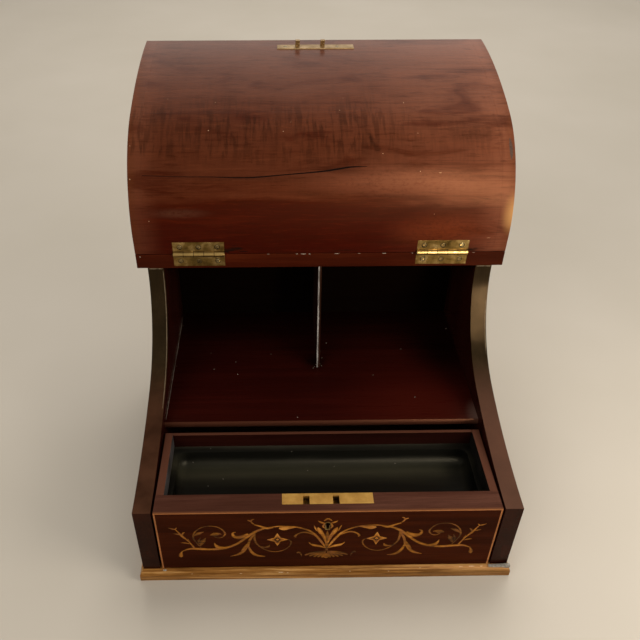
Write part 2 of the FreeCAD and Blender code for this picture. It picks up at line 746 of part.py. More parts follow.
def make_tray():
    """The hollowed pen tray in the drawer, and its lining."""
    blank = box("pen_tray_blank",
                ("2 * drawer_inner_half", "tray_length", "tray_top - tray_under"),
                ("-drawer_inner_half", "drawer_front_inside", "tray_under"))
    node("pen_tray", cut("pen_tray", blank, [trough("tray_hollow", 0, 0)]))
    sheet = box("lining_sheet", ("2 * drawer_inner_half", "tray_length", "lining_thickness"),
                ("-drawer_inner_half", "drawer_front_inside", "tray_top"))
    inside = trough("lining_inside", value("lining_thickness"), value("overrun"))
    lining = fuse("lining_joined", [sheet, trough("lining_outside", 0, 0)])
    node("tray_lining", cut("tray_lining", lining, [inside]))


def lock_screw_spots():
    """Four screws through the ears of the lock's cap, beside the case."""
    across = (value("lock_case_length") + value("lock_plate_length")) / 4
    heights = (value("lock_case_foot") + value("lock_screw_inset"),
               value("lock_plate_under") - value("lock_screw_inset"))
    face = value("drawer_front_inside")
    return [(sign * across, face, height) for _, sign in SIDES for height in heights]


def make_lock():
    """The box lock let into the drawer front: plate, case, cap, key post and sliding bolt."""
    plate = box("lock_plate_blank", ("lock_plate_length", "lock_plate_width", "lock_plate_thickness"),
                ("-lock_plate_length / 2", "lock_front", "lock_plate_under"))
    slots = []
    for side, offset in HOOKS:
        slots.append(box(side + "_slot", ("slot_width", "slot_length + overrun",
                                          "lock_plate_thickness + 2 * overrun"),
                         (f"{offset} - slot_width / 2", "lock_front - overrun",
                          "lock_plate_under - overrun")))
    node("lock_plate", cut("lock_plate", plate, slots))
    shell = box("lock_case_blank", ("lock_case_length", "lock_cap_face - lock_front", "lock_case_height"),
                ("-lock_case_length / 2", "lock_front", "lock_case_foot"))
    hollow = box("lock_case_hollow", ("lock_case_length - 2 * lock_case_wall", "lock_plate_width",
                                      "lock_case_height"),
                 ("-lock_case_length / 2 + lock_case_wall", "lock_front + lock_case_wall",
                  "lock_case_foot + lock_case_wall"))
    key_way = keyhole("case_keyhole", "0", "lock_front - overrun", "lock_case_wall + 2 * overrun")
    node("lock_case", cut("lock_case", shell, [hollow, key_way]))
    cap = box("lock_cap_blank", ("lock_plate_length", "lock_cap_thickness", "lock_case_height"),
              ("-lock_plate_length / 2", "lock_cap_face", "lock_case_foot"))
    cap_holes = screw_holes("lock_cap_holes", "lock", lock_screw_spots(), AGAINST_Y)
    node("lock_cap", cut("lock_cap", cap, [cap_holes]))
    node("lock_screws", solid("lock_screws", screws("lock", lock_screw_spots(), AGAINST_Y)))
    node("lock_post", rod("lock_post", "lock_post_diameter / 2", "lock_post_length",
                          ("0", "lock_cap_face", "key_axis"), AGAINST_Y))
    make_bolt()


def make_bolt():
    """The bolt: a bar with two upright arms, each with a finger that enters the eye of a hook."""
    pieces = [box("bolt_bar", ("bolt_length", "bolt_thickness", "bolt_height"),
                  ("-bolt_left", "bolt_front", "bolt_foot"))]
    for side, offset in HOOKS:
        pieces.append(box(side + "_bolt_arm", ("bolt_arm_width", "bolt_thickness", "arm_height"),
                          (f"{offset} - arm_offset", "bolt_front", "bolt_foot")))
        pieces.append(box(side + "_bolt_finger",
                          ("finger_length + bolt_arm_width", "finger_width", "finger_height"),
                          (f"{offset} - arm_offset", "eye_middle - finger_width / 2",
                           "eye_axis - finger_height / 2")))
    talon = box("talon", ("talon_width", "bolt_thickness + 2 * overrun", "talon_height + overrun"),
                ("-talon_width / 2", "bolt_front - overrun", "bolt_foot - overrun"))
    node("lock_bolt", cut("lock_bolt", fuse("lock_bolt_joined", pieces), [talon]))


def check():
    """Stop if any object failed or any sub-part has no sound shape."""
    for item in doc.Objects:
        if "Invalid" in item.State or "Error" in item.State:
            raise RuntimeError(f"{item.Name} failed: {item.State}")
    for name, part in nodes.items():
        if part.Shape.isNull() or not part.Shape.isValid():
            raise RuntimeError(f"{name} has no sound shape")


def export():
    """Write each sub-part to its own file."""
    os.makedirs("parts", exist_ok=True)
    for name, part in nodes.items():
        part.Shape.exportStep(f"parts/{name}.step")


fill_sheets()
make_base()
make_sides()
make_interior()
make_top()
for side_name, side_sign in SIDES:
    make_hinge(side_name, side_sign)
make_lid()
make_link_plate()
make_drawer_front()
make_drawer_box()
make_tray()
make_lock()
doc.recompute()
check()
export()
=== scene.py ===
import math
import random

import bmesh
import bpy
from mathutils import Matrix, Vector
from mathutils.bvhtree import BVHTree


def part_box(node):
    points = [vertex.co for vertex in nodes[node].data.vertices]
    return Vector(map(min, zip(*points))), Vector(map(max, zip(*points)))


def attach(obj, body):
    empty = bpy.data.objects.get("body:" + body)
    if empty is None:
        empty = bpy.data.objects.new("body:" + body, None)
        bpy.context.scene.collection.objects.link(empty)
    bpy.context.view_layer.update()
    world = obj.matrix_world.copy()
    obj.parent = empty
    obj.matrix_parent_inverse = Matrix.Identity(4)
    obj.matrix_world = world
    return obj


# The looks of a mahogany stationery cabinet with a coved lid, pigeonholes and an inlaid pen drawer.
# Lengths are metres in the part's own frame. Drawings of the inlay and of wear are in millimetres.

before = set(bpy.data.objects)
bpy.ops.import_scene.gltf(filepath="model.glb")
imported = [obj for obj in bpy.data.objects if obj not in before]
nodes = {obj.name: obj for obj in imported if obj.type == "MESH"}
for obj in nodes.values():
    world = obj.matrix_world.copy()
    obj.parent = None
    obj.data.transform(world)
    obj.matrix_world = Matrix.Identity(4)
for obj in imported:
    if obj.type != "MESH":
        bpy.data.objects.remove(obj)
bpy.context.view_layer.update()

MM = 0.001
PICTURE = 640
FAR = 10000
SIDE_INNER = 136
SIDE_OUTER = 150
LEFT = (-1, 0, 0)
RIGHT = (1, 0, 0)
FRONT = (0, -1, 0)
REAR = (0, 1, 0)
UP = (0, 0, 1)
DOWN = (0, 0, -1)


# Camera, at the photograph's viewing angle

CAMERA_PLACE = Vector((-0.0367, -0.4621, 0.5278))
CAMERA_TILT = math.radians(37.75)
CAMERA_TURN = math.radians(0.92)
FOCAL_PIXELS = 704.3
AXIS_COLUMN = 287.6
SENSOR = 36


def make_camera():
    """A camera that looks down into the open cabinet."""
    data = bpy.data.cameras.new("camera")
    data.sensor_width = SENSOR
    data.lens = FOCAL_PIXELS * SENSOR / PICTURE
    data.shift_x = 0.5 - AXIS_COLUMN / PICTURE
    camera = bpy.data.objects.new("camera", data)
    camera.location = CAMERA_PLACE
    camera.rotation_euler = (math.pi / 2 - CAMERA_TILT, 0, -CAMERA_TURN)
    bpy.context.scene.collection.objects.link(camera)
    bpy.context.scene.camera = camera


# Materials

def linear(colour):
    """A colour given as it looks on a screen, 0 to 255, made linear and opaque."""
    shares = [channel / 255 for channel in colour]
    parts = [share / 12.92 if share <= 0.04045 else ((share + 0.055) / 1.055) ** 2.4 for share in shares]
    return (*parts, 1)


class Nodes:
    """The nodes of a material or of the world, with short calls for adding to them."""

    def __init__(self, owner):
        owner.use_nodes = True
        self.tree = owner.node_tree

    def feed(self, socket, source):
        """Link a socket to another one, or set its value."""
        if isinstance(source, bpy.types.NodeSocket):
            self.tree.links.new(source, socket)
        else:
            socket.default_value = source

    def add(self, kind, inputs=(), **settings):
        """A new node with its settings, and its inputs fed."""
        node = self.tree.nodes.new("ShaderNode" + kind)
        for name, setting in settings.items():
            setattr(node, name, setting)
        for socket, source in dict(inputs).items():
            self.feed(node.inputs[socket], source)
        return node

    def math(self, operation, first, second=0.5):
        """A value worked out from two others."""
        return self.add("Math", {0: first, 1: second}, operation=operation).outputs[0]


class Paint(Nodes):
    """A material. Its colours are given as on a screen."""

    def __init__(self, name, **settings):
        self.material = bpy.data.materials.new(name)
        super().__init__(self.material)
        self.shader = self.tree.nodes["Principled BSDF"]
        for socket, setting in settings.items():
            self.shader.inputs[socket.replace("_", " ")].default_value = setting

    def place(self):
        """The point in the part's frame."""
        return self.add("TexCoord").outputs["Object"]

    def along(self, letter):
        """One coordinate of the point in the part's frame."""
        return self.add("SeparateXYZ", {"Vector": self.place()}).outputs[letter]

    def stretch(self, sizes):
        """The point in the part's frame, scaled so that a pattern has these sizes along X, Y and Z."""
        scale = Vector([1 / size for size in sizes])
        return self.add("Mapping", {"Vector": self.place(), "Scale": scale}).outputs["Vector"]

    def noise(self, sizes, detail=3, roughness=0.55, distortion=0):
        """Noise whose features have these sizes along X, Y and Z."""
        inputs = {"Vector": self.stretch(sizes), "Scale": 1, "Detail": detail,
                  "Roughness": roughness, "Distortion": distortion}
        return self.add("TexNoise", inputs).outputs["Fac"]

    def times(self, first, second):
        """A product of two values."""
        return self.math("MULTIPLY", first, second)

    def between(self, factor, low, high, to_low=0, to_high=1):
        """A value carried smoothly from one range to another."""
        inputs = {"Value": factor, "From Min": low, "From Max": high,
                  "To Min": to_low, "To Max": to_high}
        return self.add("MapRange", inputs, interpolation_type="SMOOTHSTEP").outputs["Result"]

    def ramp(self, factor, stops):
        """Colours along a value: each stop is a position and a colour."""
        node = self.add("ValToRGB", {"Fac": factor})
        elements = node.color_ramp.elements
        while len(elements) < len(stops):
            elements.new(1)
        for element, (position, colour) in zip(elements, stops):
            element.position = position
            element.color = linear(colour)
        return node.outputs["Color"]

    def shades(self, factor, tones, low=0.3, high=0.7):
        """Tones spread evenly along a value, from low to high."""
        step = (high - low) / (len(tones) - 1)
        return self.ramp(factor, [(low + index * step, tone) for index, tone in enumerate(tones)])

    def mix(self, factor, first, second):
        """Two colours mixed."""
        node = self.add("Mix", data_type="RGBA", blend_type="MIX")
        self.feed(node.inputs[0], factor)
        for socket, source in ((node.inputs[6], first), (node.inputs[7], second)):
            self.feed(socket, linear(source) if isinstance(source, tuple) else source)
        return node.outputs[2]

    def tint(self, colour, tone, factor, low, high, share=1):
        """A colour that takes up a share of a tone as a value goes from low to high."""
        return self.mix(self.between(factor, low, high, 0, share), colour, tone)

    def facing(self, direction):
        """How far the surface faces a direction of the part's frame."""
        normal = self.add("TexCoord").outputs["Normal"]
        node = self.add("VectorMath", {0: normal, 1: direction}, operation="DOT_PRODUCT")
        return node.outputs["Value"]

    def specks(self, spacing, size, share):
        """Scattered dots: their spacing, their size, and the share of places that has one."""
        inputs = {"Vector": self.stretch((spacing,) * 3), "Scale": 1}
        node = self.add("TexVoronoi", inputs)
        dot = self.math("LESS_THAN", node.outputs["Distance"], size / spacing)
        chance = self.add("SeparateColor", {"Color": node.outputs["Color"]}).outputs["Red"]
        return self.times(dot, self.math("LESS_THAN", chance, share))

    def blot(self, middle, sizes, turn=0):
        """A soft patch in millimetres, turned in degrees about Y: 1 in its middle, 0 at its rim."""
        inputs = {"Vector": self.place(), "Location": Vector(middle) * MM,
                  "Rotation": (0, math.radians(turn), 0), "Scale": Vector(sizes) * MM}
        inside = self.add("Mapping", inputs, vector_type="TEXTURE").outputs["Vector"]
        distance = self.add("VectorMath", {0: inside}, operation="LENGTH").outputs["Value"]
        return self.between(distance, 1, 0)

    def finish(self, colour, roughness=None, height=None, relief=0.0001, strength=0.3):
        """Feed the shader and return the material."""
        self.feed(self.shader.inputs["Base Color"], colour)
        if roughness is not None:
            self.feed(self.shader.inputs["Roughness"], roughness)
        if height is not None:
            bump = self.add("Bump", {"Height": height, "Distance": relief, "Strength": strength})
            self.feed(self.shader.inputs["Normal"], bump.outputs["Normal"])
        return self.material

    def finish_wood(self, colour, fibres, height, smoothest, roughest, strength):
        """Feed the shader with wood whose roughness follows its fibres, and return the material."""
        roughness = self.between(fibres, 0.2, 0.8, smoothest, roughest)
        return self.finish(colour, roughness, height, strength=strength)


ALONG = {"X": 0, "Y": 1, "Z": 2}
DUST = (176, 166, 152)
POLISH_TINT = (1.0, 0.45, 0.22, 1)
EDGE_TINT = (1.0, 0.62, 0.3, 1)
LEATHER_TINT = (1.0, 0.92, 0.7, 1)


def polish(name, shine, tint=POLISH_TINT):
    """A paint with a polish of some strength over it."""
    return Paint(name, Specular_IOR_Level=shine, Specular_Tint=tint)


def grain(letter, length, width):
    """Sizes of a pattern that is long in the direction of the grain."""
    sizes = [width] * 3
    sizes[ALONG[letter]] = length
    return sizes


STREAK_SIZES = (0.22, 0.008)
CLOUD_SIZES = (0.12, 0.05)
FIBRE_SIZES = (0.03, 0.0007)
PORE_SIZES = (0.006, 0.0003)


def wood_parts(paint, letter, tones):
    """Colour, fibres and relief of polished wood with its grain along an axis."""
    streaks = paint.noise(grain(letter, *STREAK_SIZES), 5, 0.6, 0.4)
    clouds = paint.noise(grain(letter, *CLOUD_SIZES), 2)
    tone = paint.math("ADD", paint.times(streaks, 0.6), paint.times(clouds, 0.4))
    colour = paint.shades(tone, tones)
    fibres = paint.noise(grain(letter, *FIBRE_SIZES), 2)
    colour = paint.tint(colour, tones[0], fibres, 0.35, 0.75, 0.45)
    pore = paint.between(paint.noise(grain(letter, *PORE_SIZES), 1), 0.62, 0.72)
    colour = paint.mix(paint.times(pore, 0.5), colour, tones[0])
    height = paint.math("SUBTRACT", paint.times(fibres, 0.5), pore)
    return colour, fibres, height


def wood(name, letter, tones, gloss=0.3, shine=0.12, edges=None):
    """Polished wood in three tones, dark to light, with one worn tone on the edges that face up."""
    paint = polish(name, shine)
    colour, fibres, height = wood_parts(paint, letter, tones)
    if edges:
        colour = paint.tint(colour, edges, paint.facing(UP), 0.35, 0.8, 0.8)
    return paint.finish_wood(colour, fibres, height, gloss - 0.06, gloss + 0.1, 0.12)


LID_PROFILE = (
    (0.00, (62, 3, 0)),
    (0.30, (63, 4, 0)),
    (0.36, (69, 15, 3)),
    (0.42, (96, 43, 23)),
    (0.54, (94, 46, 27)),
    (0.64, (92, 45, 26)),
    (0.80, (93, 48, 30)),
    (1.00, (105, 59, 41)),
)
# Pale tone of faded polish, also used as painted light on the lid.
FADE_AND_LIGHT = (156, 94, 66)
SHADED = (44, 8, 1)
RED_CLOUD = (58, 10, 2)
PALE_CLOUD = (126, 66, 38)
LOW_CLOUD = (116, 36, 12)
RED_FADE = (152, 66, 28)
RIPPLE = (34, 15, 7)
GRIME = (20, 8, 4)
# Tone of a painted reflection haze.
REFLECTED_HAZE = (150, 112, 84)
# Milky polish with a painted sheen, for the top of the lid.
BLOOM_AND_SHEEN = (136, 116, 106)

LID_STAINS = (
    (41, 291, 3.2, 13, -34, 0.6), (46, 285, 4.2, 3.2, 0, 0.7), (124, 294, 30, 8, 0, 0.35),
    (-73, 208, 11, 2.8, 0, 1.0), (-81, 206, 4.5, 3, 0, 1.0), (130, 205, 7, 3, 0, 0.9),
    (20, 205.5, 17, 1.6, 0, 0.6), (-60, 267, 95, 3, 0, 0.35), (-10, 256, 42, 4, 3, 0.3),
    (10, 272, 34, 4, 3, 0.25),
)
# Pale patches of the lid; the first, low on the left, is a painted reflection haze.
LID_FADES_AND_HAZE = (
    (-119, 241, 34, 6, 0, 0.13, REFLECTED_HAZE),
    (72, 264, 100, 15, 0, 0.42, FADE_AND_LIGHT),
    (104, 224, 60, 22, 0, 0.33, RED_FADE),
)
LID_SPECKS = (0.016, 0.00045, 0.10)
SPECK = (168, 132, 104)
SWING_SIZES = (0.12, 0.3, 0.02)
BLUR_SIZES = (0.08, 0.035, 0.014)
STRIPE_SIZES = (0.2, 0.008, 0.003)
RIPPLE_SIZES = (0.0029, 0.03, 0.016)
PATCH_SIZES = (0.05, 0.03, 0.03)
LINE_SIZES = (0.022, 0.006, 0.0016)
HAIR_SIZES = (0.03, 0.0012, 0.0007)
RIPPLE_LEVEL = 0.72


def lid_ripple(paint, colour, level, across):
    """The lid's colour with a fiddleback ripple, strongest on its left part."""
    ripple = paint.noise(RIPPLE_SIZES, 2, 0.5, 0.5)
    away = paint.math("ABSOLUTE", paint.math("SUBTRACT", level, RIPPLE_LEVEL))
    band = paint.between(away, 0.16, 0.04)
    patch = paint.between(paint.noise(PATCH_SIZES, 2), 0.3, 0.6, 0.45, 1)
    left_part = paint.between(across, 0.09, 0.02, 0.2, 1)
    figure = paint.times(paint.times(band, patch), left_part)
    amount = paint.math("ADD", paint.times(figure, 0.5), 0.06)
    return paint.mix(paint.times(paint.between(ripple, 0.6, 0.36), amount), colour, RIPPLE)


def lid_figure(paint):
    """Colour of the lid by height and across, with clouds and streaks, its roughness and its fibres, and
    painted light: paler towards the right, darker towards the left.
    """
    low, high = (corner.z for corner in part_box("lid_inner_veneer"))
    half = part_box("lid_inner_veneer")[1].x
    across = paint.along("X")
    swing = paint.math("SUBTRACT", paint.noise(SWING_SIZES, 3))
    level = paint.between(paint.along("Z"), low, high)
    level.node.interpolation_type = "LINEAR"
    level = paint.math("ADD", level, paint.times(swing, 0.28))
    colour = paint.ramp(level, LID_PROFILE)
    drift = paint.math("ADD", across, paint.times(swing, 0.12))
    drift = paint.math("SUBTRACT", drift, paint.between(level, 0.52, 0.3, 0, 0.45 * half))
    # Painted light and painted shade: paler towards the right and darker towards the left, as light falls
    # from the right.
    colour = paint.tint(colour, FADE_AND_LIGHT, drift, -0.2 * half, 1.1 * half, 0.38)
    colour = paint.tint(colour, SHADED, drift, 0.2 * half, -half, 0.22)
    # Paler at both ends: the pale end wood, with a painted glow of light at the right end.
    ends = paint.math("MAXIMUM", paint.between(across, 0.84 * half, 1.08 * half, 0, 0.45),
                      paint.between(across, -0.88 * half, -1.08 * half, 0, 0.25))
    colour = paint.mix(ends, colour, FADE_AND_LIGHT)
    pale = paint.tint(LOW_CLOUD, PALE_CLOUD, level, 0.3, 0.44)
    clouds = paint.noise(BLUR_SIZES, 4, 0.6, 0.6)
    colour = paint.tint(colour, RED_CLOUD, clouds, 0.5, 0.32, 0.6)
    colour = paint.tint(colour, pale, clouds, 0.54, 0.74, 0.18)
    streaks = paint.noise(STRIPE_SIZES, 6, 0.66, 0.5)
    colour = paint.tint(colour, SHADED, streaks, 0.5, 0.3, 0.36)
    colour = paint.tint(colour, pale, streaks, 0.55, 0.8, 0.26)
    colour = lid_ripple(paint, colour, level, across)
    lines = paint.noise(LINE_SIZES, 4, 0.7, 0.3)
    colour = paint.tint(colour, SHADED, lines, 0.54, 0.68, 0.4)
    colour = paint.tint(colour, pale, lines, 0.46, 0.34, 0.16)
    fibres = paint.noise(HAIR_SIZES, 2)
    colour = paint.tint(colour, SHADED, fibres, 0.4, 0.8, 0.3)
    # Milky bloom of the polish with a painted sheen towards the top of the lid.
    colour = paint.tint(colour, BLOOM_AND_SHEEN, level, 0.74, 1.1, 0.12)
    roughness = paint.math("ADD", paint.between(fibres, 0.2, 0.8, 0.22, 0.32),
                           paint.between(level, 0.42, 0.28, 0, 0.24))
    return colour, roughness, fibres


def lid_veneer(name, marked):
    """Figured mahogany of the lid, with or without stains, fades and a painted reflection haze."""
    paint = polish(name, 0.14)
    colour, roughness, fibres = lid_figure(paint)
    if marked:
        broken = paint.between(paint.noise((0.004, 0.004, 0.002), 4, 0.7), 0.3, 0.55, 0.4, 1)
        marks = [(*stain, GRIME) for stain in LID_STAINS]
        for across, height, wide, tall, turn, strength, tone in (*LID_FADES_AND_HAZE, *marks):
            patch = paint.blot((across, 0, height), (wide, FAR, tall), turn)
            patch = paint.times(patch, paint.times(broken, strength))
            colour = paint.mix(patch, colour, tone)
        colour = paint.mix(paint.specks(*LID_SPECKS), colour, SPECK)
    return paint.finish(colour, roughness, fibres, strength=0.06)


# A painted highlight low on the front of the lid's right end, in a golden tone.
CLEAT_HIGHLIGHT = ((161, 0, 238), (13, FAR, 22))
HIGHLIGHT_GOLD = (218, 162, 98)


def cleat_wood(name):
    """End pieces of the lid: as the lid where they meet it, with a painted golden highlight low down on
    the right.
    """
    paint = polish(name, 0.14)
    colour, roughness, fibres = lid_figure(paint)
    own, _, _ = wood_parts(paint, "Z", CLEAT_TONES)
    inner, outer = (abs(corner.x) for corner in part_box("lid_left_cleat")[::-1])
    out = paint.math("ABSOLUTE", paint.along("X"))
    colour = paint.tint(colour, own, out, inner + 2 * MM, outer, 0.35)
    # Painted highlight on the front faces of the right end.
    front = paint.between(paint.facing(FRONT), 0.3, 0.7, 0, 0.85)
    rub_and_light = paint.times(paint.blot(*CLEAT_HIGHLIGHT), front)
    colour = paint.mix(rub_and_light, colour, HIGHLIGHT_GOLD)
    end = paint.math("ABSOLUTE", paint.facing(RIGHT))
    colour = paint.tint(colour, own, end, 0.6, 0.9, 0.6)
    roughness = paint.math("ADD", roughness, paint.between(end, 0.6, 0.9, 0, 0.4))
    return paint.finish(colour, roughness, fibres, strength=0.06)


LEDGE_HEIGHTS = (0.118, 0.092)
FOOT_HEIGHTS = (0.1, 0.088)


def side_wood(name):
    """Sides: dark red faces, darker inside as painted shade, glossy olive-brown cove edges whose olive is
    a painted reflection, redder ledges, paler on the right as painted light, and feet darkened as painted
    shade.
    """
    paint = polish(name, 0.09, EDGE_TINT)
    # The olive of the cove edges is a painted reflection on the wood's tone.
    colour, _, height = wood_parts(paint, "Z", SIDE_TONES_AND_SHEEN)
    smoke = paint.noise((0.02, 0.02, 0.03), 3)
    up = paint.along("Z")
    ledge = paint.shades(smoke, LEDGE_TONES, 0.35, 0.65)
    # Painted light: the ledge is paler on the right side.
    right = paint.between(paint.along("X"), 0, SIDE_INNER * MM, 0, 0.35)
    ledge = paint.mix(right, ledge, LIT_RIGHT_LEDGE)
    colour = paint.tint(colour, ledge, up, *LEDGE_HEIGHTS)
    # Painted shade: the front faces of the feet are darkened.
    foot = paint.shades(smoke, SHADED_FOOT_TONES, 0.35, 0.65)
    front = paint.between(paint.facing(FRONT), 0.6, 0.9)
    colour = paint.mix(paint.times(front, paint.between(up, *FOOT_HEIGHTS)), colour, foot)
    # Painted shade: the faces are darkened as inside the pigeonholes; the outer faces get a lighter tone
    # below.
    face, _, _ = wood_parts(paint, "Z", SHADED_SIDE_FACES)
    flat = paint.math("ABSOLUTE", paint.facing(RIGHT))
    colour = paint.tint(colour, face, flat, 0.6, 0.9)
    out = paint.math("ABSOLUTE", paint.along("X"))
    polished, _, _ = wood_parts(paint, "Z", OUTER_FACES)
    outer = paint.between(out, (SIDE_OUTER - 1) * MM, (SIDE_OUTER - 0.2) * MM)
    colour = paint.mix(paint.times(outer, paint.between(flat, 0.6, 0.9)), colour, polished)
    roughness = paint.between(smoke, 0.3, 0.7, 0.17, 0.26)
    return paint.finish(colour, roughness, height, strength=0.08)


BACK_SPECKS = (0.02, 0.0006, 0.1)


def back_wood(name):
    """Back panel: nearly black inside as painted shade, plain wood on its rear face."""
    paint = polish(name, 0.04)
    colour, fibres, height = wood_parts(paint, "X", SHADED_BACK_TONES)
    rear, _, _ = wood_parts(paint, "X", REAR_TONES)
    colour = paint.tint(colour, rear, paint.facing(REAR), 0.5, 0.8)
    colour = paint.mix(paint.specks(*BACK_SPECKS), colour, SHADED_BACK_TONES[0])
    return paint.finish_wood(colour, fibres, height, 0.4, 0.55, 0.16)


BASE_LINE_SIZES = (0.07, 0.003, 0.0017)
BASE_FRONT = (-0.126, -0.12)
BASE_SIDES = (0.15, 0.146)
# Painted shade on the base board's top inside the carcass.
SHADED_BASE_INSIDE = (24, 12, 6)


def base_wood(name):
    """Base board: pale gold, with fine lines along the grain, painted shade towards the right, and
    painted shade inside the carcass.
    """
    paint = polish(name, 0.14)
    colour, fibres, height = wood_parts(paint, "X", BASE_TONES)
    lines = paint.noise(BASE_LINE_SIZES, 4, 0.7)
    colour = paint.tint(colour, BASE_TONES[0], lines, 0.5, 0.38, 0.8)
    colour = paint.tint(colour, BASE_TONES[2], lines, 0.53, 0.64, 0.7)
    across = paint.along("X")
    # Painted shade: darker towards the right.
    colour = paint.tint(colour, BASE_TONES[0], across, 0.02, 0.15, 0.4)
    # Painted shade on the top faces inside the carcass.
    inside = paint.times(paint.between(paint.facing(UP), 0.5, 0.8),
                         paint.between(paint.along("Y"), *BASE_FRONT))
    within = paint.between(paint.math("ABSOLUTE", across), *BASE_SIDES, 0, 0.9)
    colour = paint.mix(paint.times(inside, within), colour, SHADED_BASE_INSIDE)
    return paint.finish_wood(colour, fibres, height, 0.22, 0.36, 0.14)


def brass(name, tones, gloss, bare=1.0):
    """Old brass, bare to some share: dull patches, a brushed grain, dark spots and a painted highlight
    along the hinge knuckles.
    """
    paint = Paint(name, Metallic=bare)
    patches = paint.noise((0.009, 0.009, 0.009), 4, 0.6)
    colour = paint.shades(patches, tones)
    # A painted highlight along the hinge knuckles.
    rub_and_light = paint.times(paint.blot(*KNUCKLE_HIGHLIGHT), 0.9)
    colour = paint.mix(rub_and_light, colour, KNUCKLE_HIGHLIGHT_TONE)
    brushed = paint.noise((0.02, 0.0004, 0.0004), 2)
    colour = paint.tint(colour, tones[0], paint.noise((0.0013,) * 3, 2), 0.68, 0.76, 0.5)
    roughness = paint.between(patches, 0.25, 0.75, gloss + 0.1, gloss - 0.05)
    return paint.finish(colour, roughness, brushed, strength=0.08)


# Bands of the tray lining, front to rear: a painted shadow of the drawer front, a painted sheen along the
# middle, painted shade below the rear rim, and a painted highlight on it.
SKIVER_LIGHT_BANDS = (
    (0.00, (3, 3, 2)),
    (0.44, (4, 3, 2)),
    (0.56, (22, 20, 13)),
    (0.68, (42, 39, 28)),
    (0.78, (38, 36, 26)),
    (0.88, (15, 15, 12)),
    (0.93, (20, 19, 15)),
    (1.00, (52, 49, 40)),
)
# Painted shade at the right end of the tray.
SHADED_TRAY_END = (0.096, 0.116)
TRAY_END_SHADE = (5, 5, 4)
TRAY_SPECKS = (0.014, 0.0004, 0.12)
PEBBLE = 0.0009


def leather(name):
    """Black skiver of the tray, finely pebbled, with bands of painted light: a painted shadow at the
    front, a painted sheen along the middle, a painted highlight on the rear rim, and painted shade at the
    right end.
    """
    paint = polish(name, 0.16, LEATHER_TINT)
    front, rear = (corner.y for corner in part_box("tray_lining"))
    rub_and_light = paint.noise((0.07, 0.01, 0.01), 4)
    across = paint.between(paint.along("Y"), front, rear)
    across.node.interpolation_type = "LINEAR"
    wavy = paint.times(paint.math("SUBTRACT", rub_and_light), 0.16)
    colour = paint.ramp(paint.math("ADD", across, wavy), SKIVER_LIGHT_BANDS)
    # Painted shade at the right end of the tray.
    colour = paint.tint(colour, TRAY_END_SHADE, paint.along("X"), *SHADED_TRAY_END, 0.8)
    colour = paint.mix(paint.specks(*TRAY_SPECKS), colour, DUST)
    pebble = paint.add("TexVoronoi", {"Vector": paint.stretch((PEBBLE,) * 3), "Scale": 1})
    roughness = paint.between(rub_and_light, 0.3, 0.7, 0.5, 0.36)
    return paint.finish(colour, roughness, pebble.outputs["Distance"], 0.00006, 0.35)


# Painted shade towards the rear of the floor.
SHADED_FLOOR_REAR = (0.03, 0.125)
FLOOR_SPECKS = (0.011, 0.0005, 0.16)


def floor_wood(name):
    """Pigeonhole floor: dark red, with painted shade towards the rear, a worn nosing, and patches of
    painted reflection and painted shade.
    """
    paint = polish(name, 0.12)
    colour, fibres, height = wood_parts(paint, "X", FLOOR_TONES)
    # Painted shade: darker towards the rear, under the top board.
    colour = paint.tint(colour, FLOOR_SHADE, paint.along("Y"), *SHADED_FLOOR_REAR, 0.8)
    # Patches of painted reflection and painted shade.
    for middle, sizes, tone, strength in FLOOR_LIGHT_PATCHES:
        rub_and_light = paint.times(paint.blot(middle, sizes), strength)
        colour = paint.mix(rub_and_light, colour, tone)
    colour = paint.tint(colour, NOSING_TONE, paint.facing(FRONT), 0.35, 0.8, 0.8)
    colour = paint.mix(paint.specks(*FLOOR_SPECKS), colour, DUST)
    return paint.finish_wood(colour, fibres, height, 0.24, 0.4, 0.12)


def drawer_wall(name, inward, lining):
    """Drawer side: bare wood on its edges, and worn black paint in the lining's tones inside."""
    paint = polish(name, 0.12)
    colour, fibres, height = wood_parts(paint, "Y", DRAWER_TONES)
    colour = paint.tint(colour, RIM_TONE, paint.facing(UP), 0.5, 0.9, 0.8)
    black = paint.shades(paint.noise((0.02, 0.012, 0.012), 3), lining, 0.35, 0.7)
    colour = paint.tint(colour, black, paint.facing(inward), 0.6, 0.8)
    return paint.finish_wood(colour, fibres, height, 0.32, 0.46, 0.12)


def partition_wood(name):
    """Thin partition: dark faces, and a front edge worn bare and pale, with a painted highlight on its
    left half.
    """
    paint = polish(name, 0.16)
    colour, fibres, height = wood_parts(paint, "Z", PARTITION_TONES)
    bare = paint.shades(paint.noise((0.002, 0.004, 0.012), 4), BARE_AND_LIT_TONES, 0.3, 0.6)
    # Painted highlight: the pale tone is laid on the left half of the front edge only.
    front = paint.between(paint.facing(FRONT), 0.5, 0.7)
    left_half = paint.between(paint.along("X"), 0.0001, -0.0005)
    colour = paint.mix(paint.times(front, left_half), colour, bare)
    return paint.finish_wood(colour, fibres, height, 0.4, 0.55, 0.15)


PINKER = (128, 76, 46)


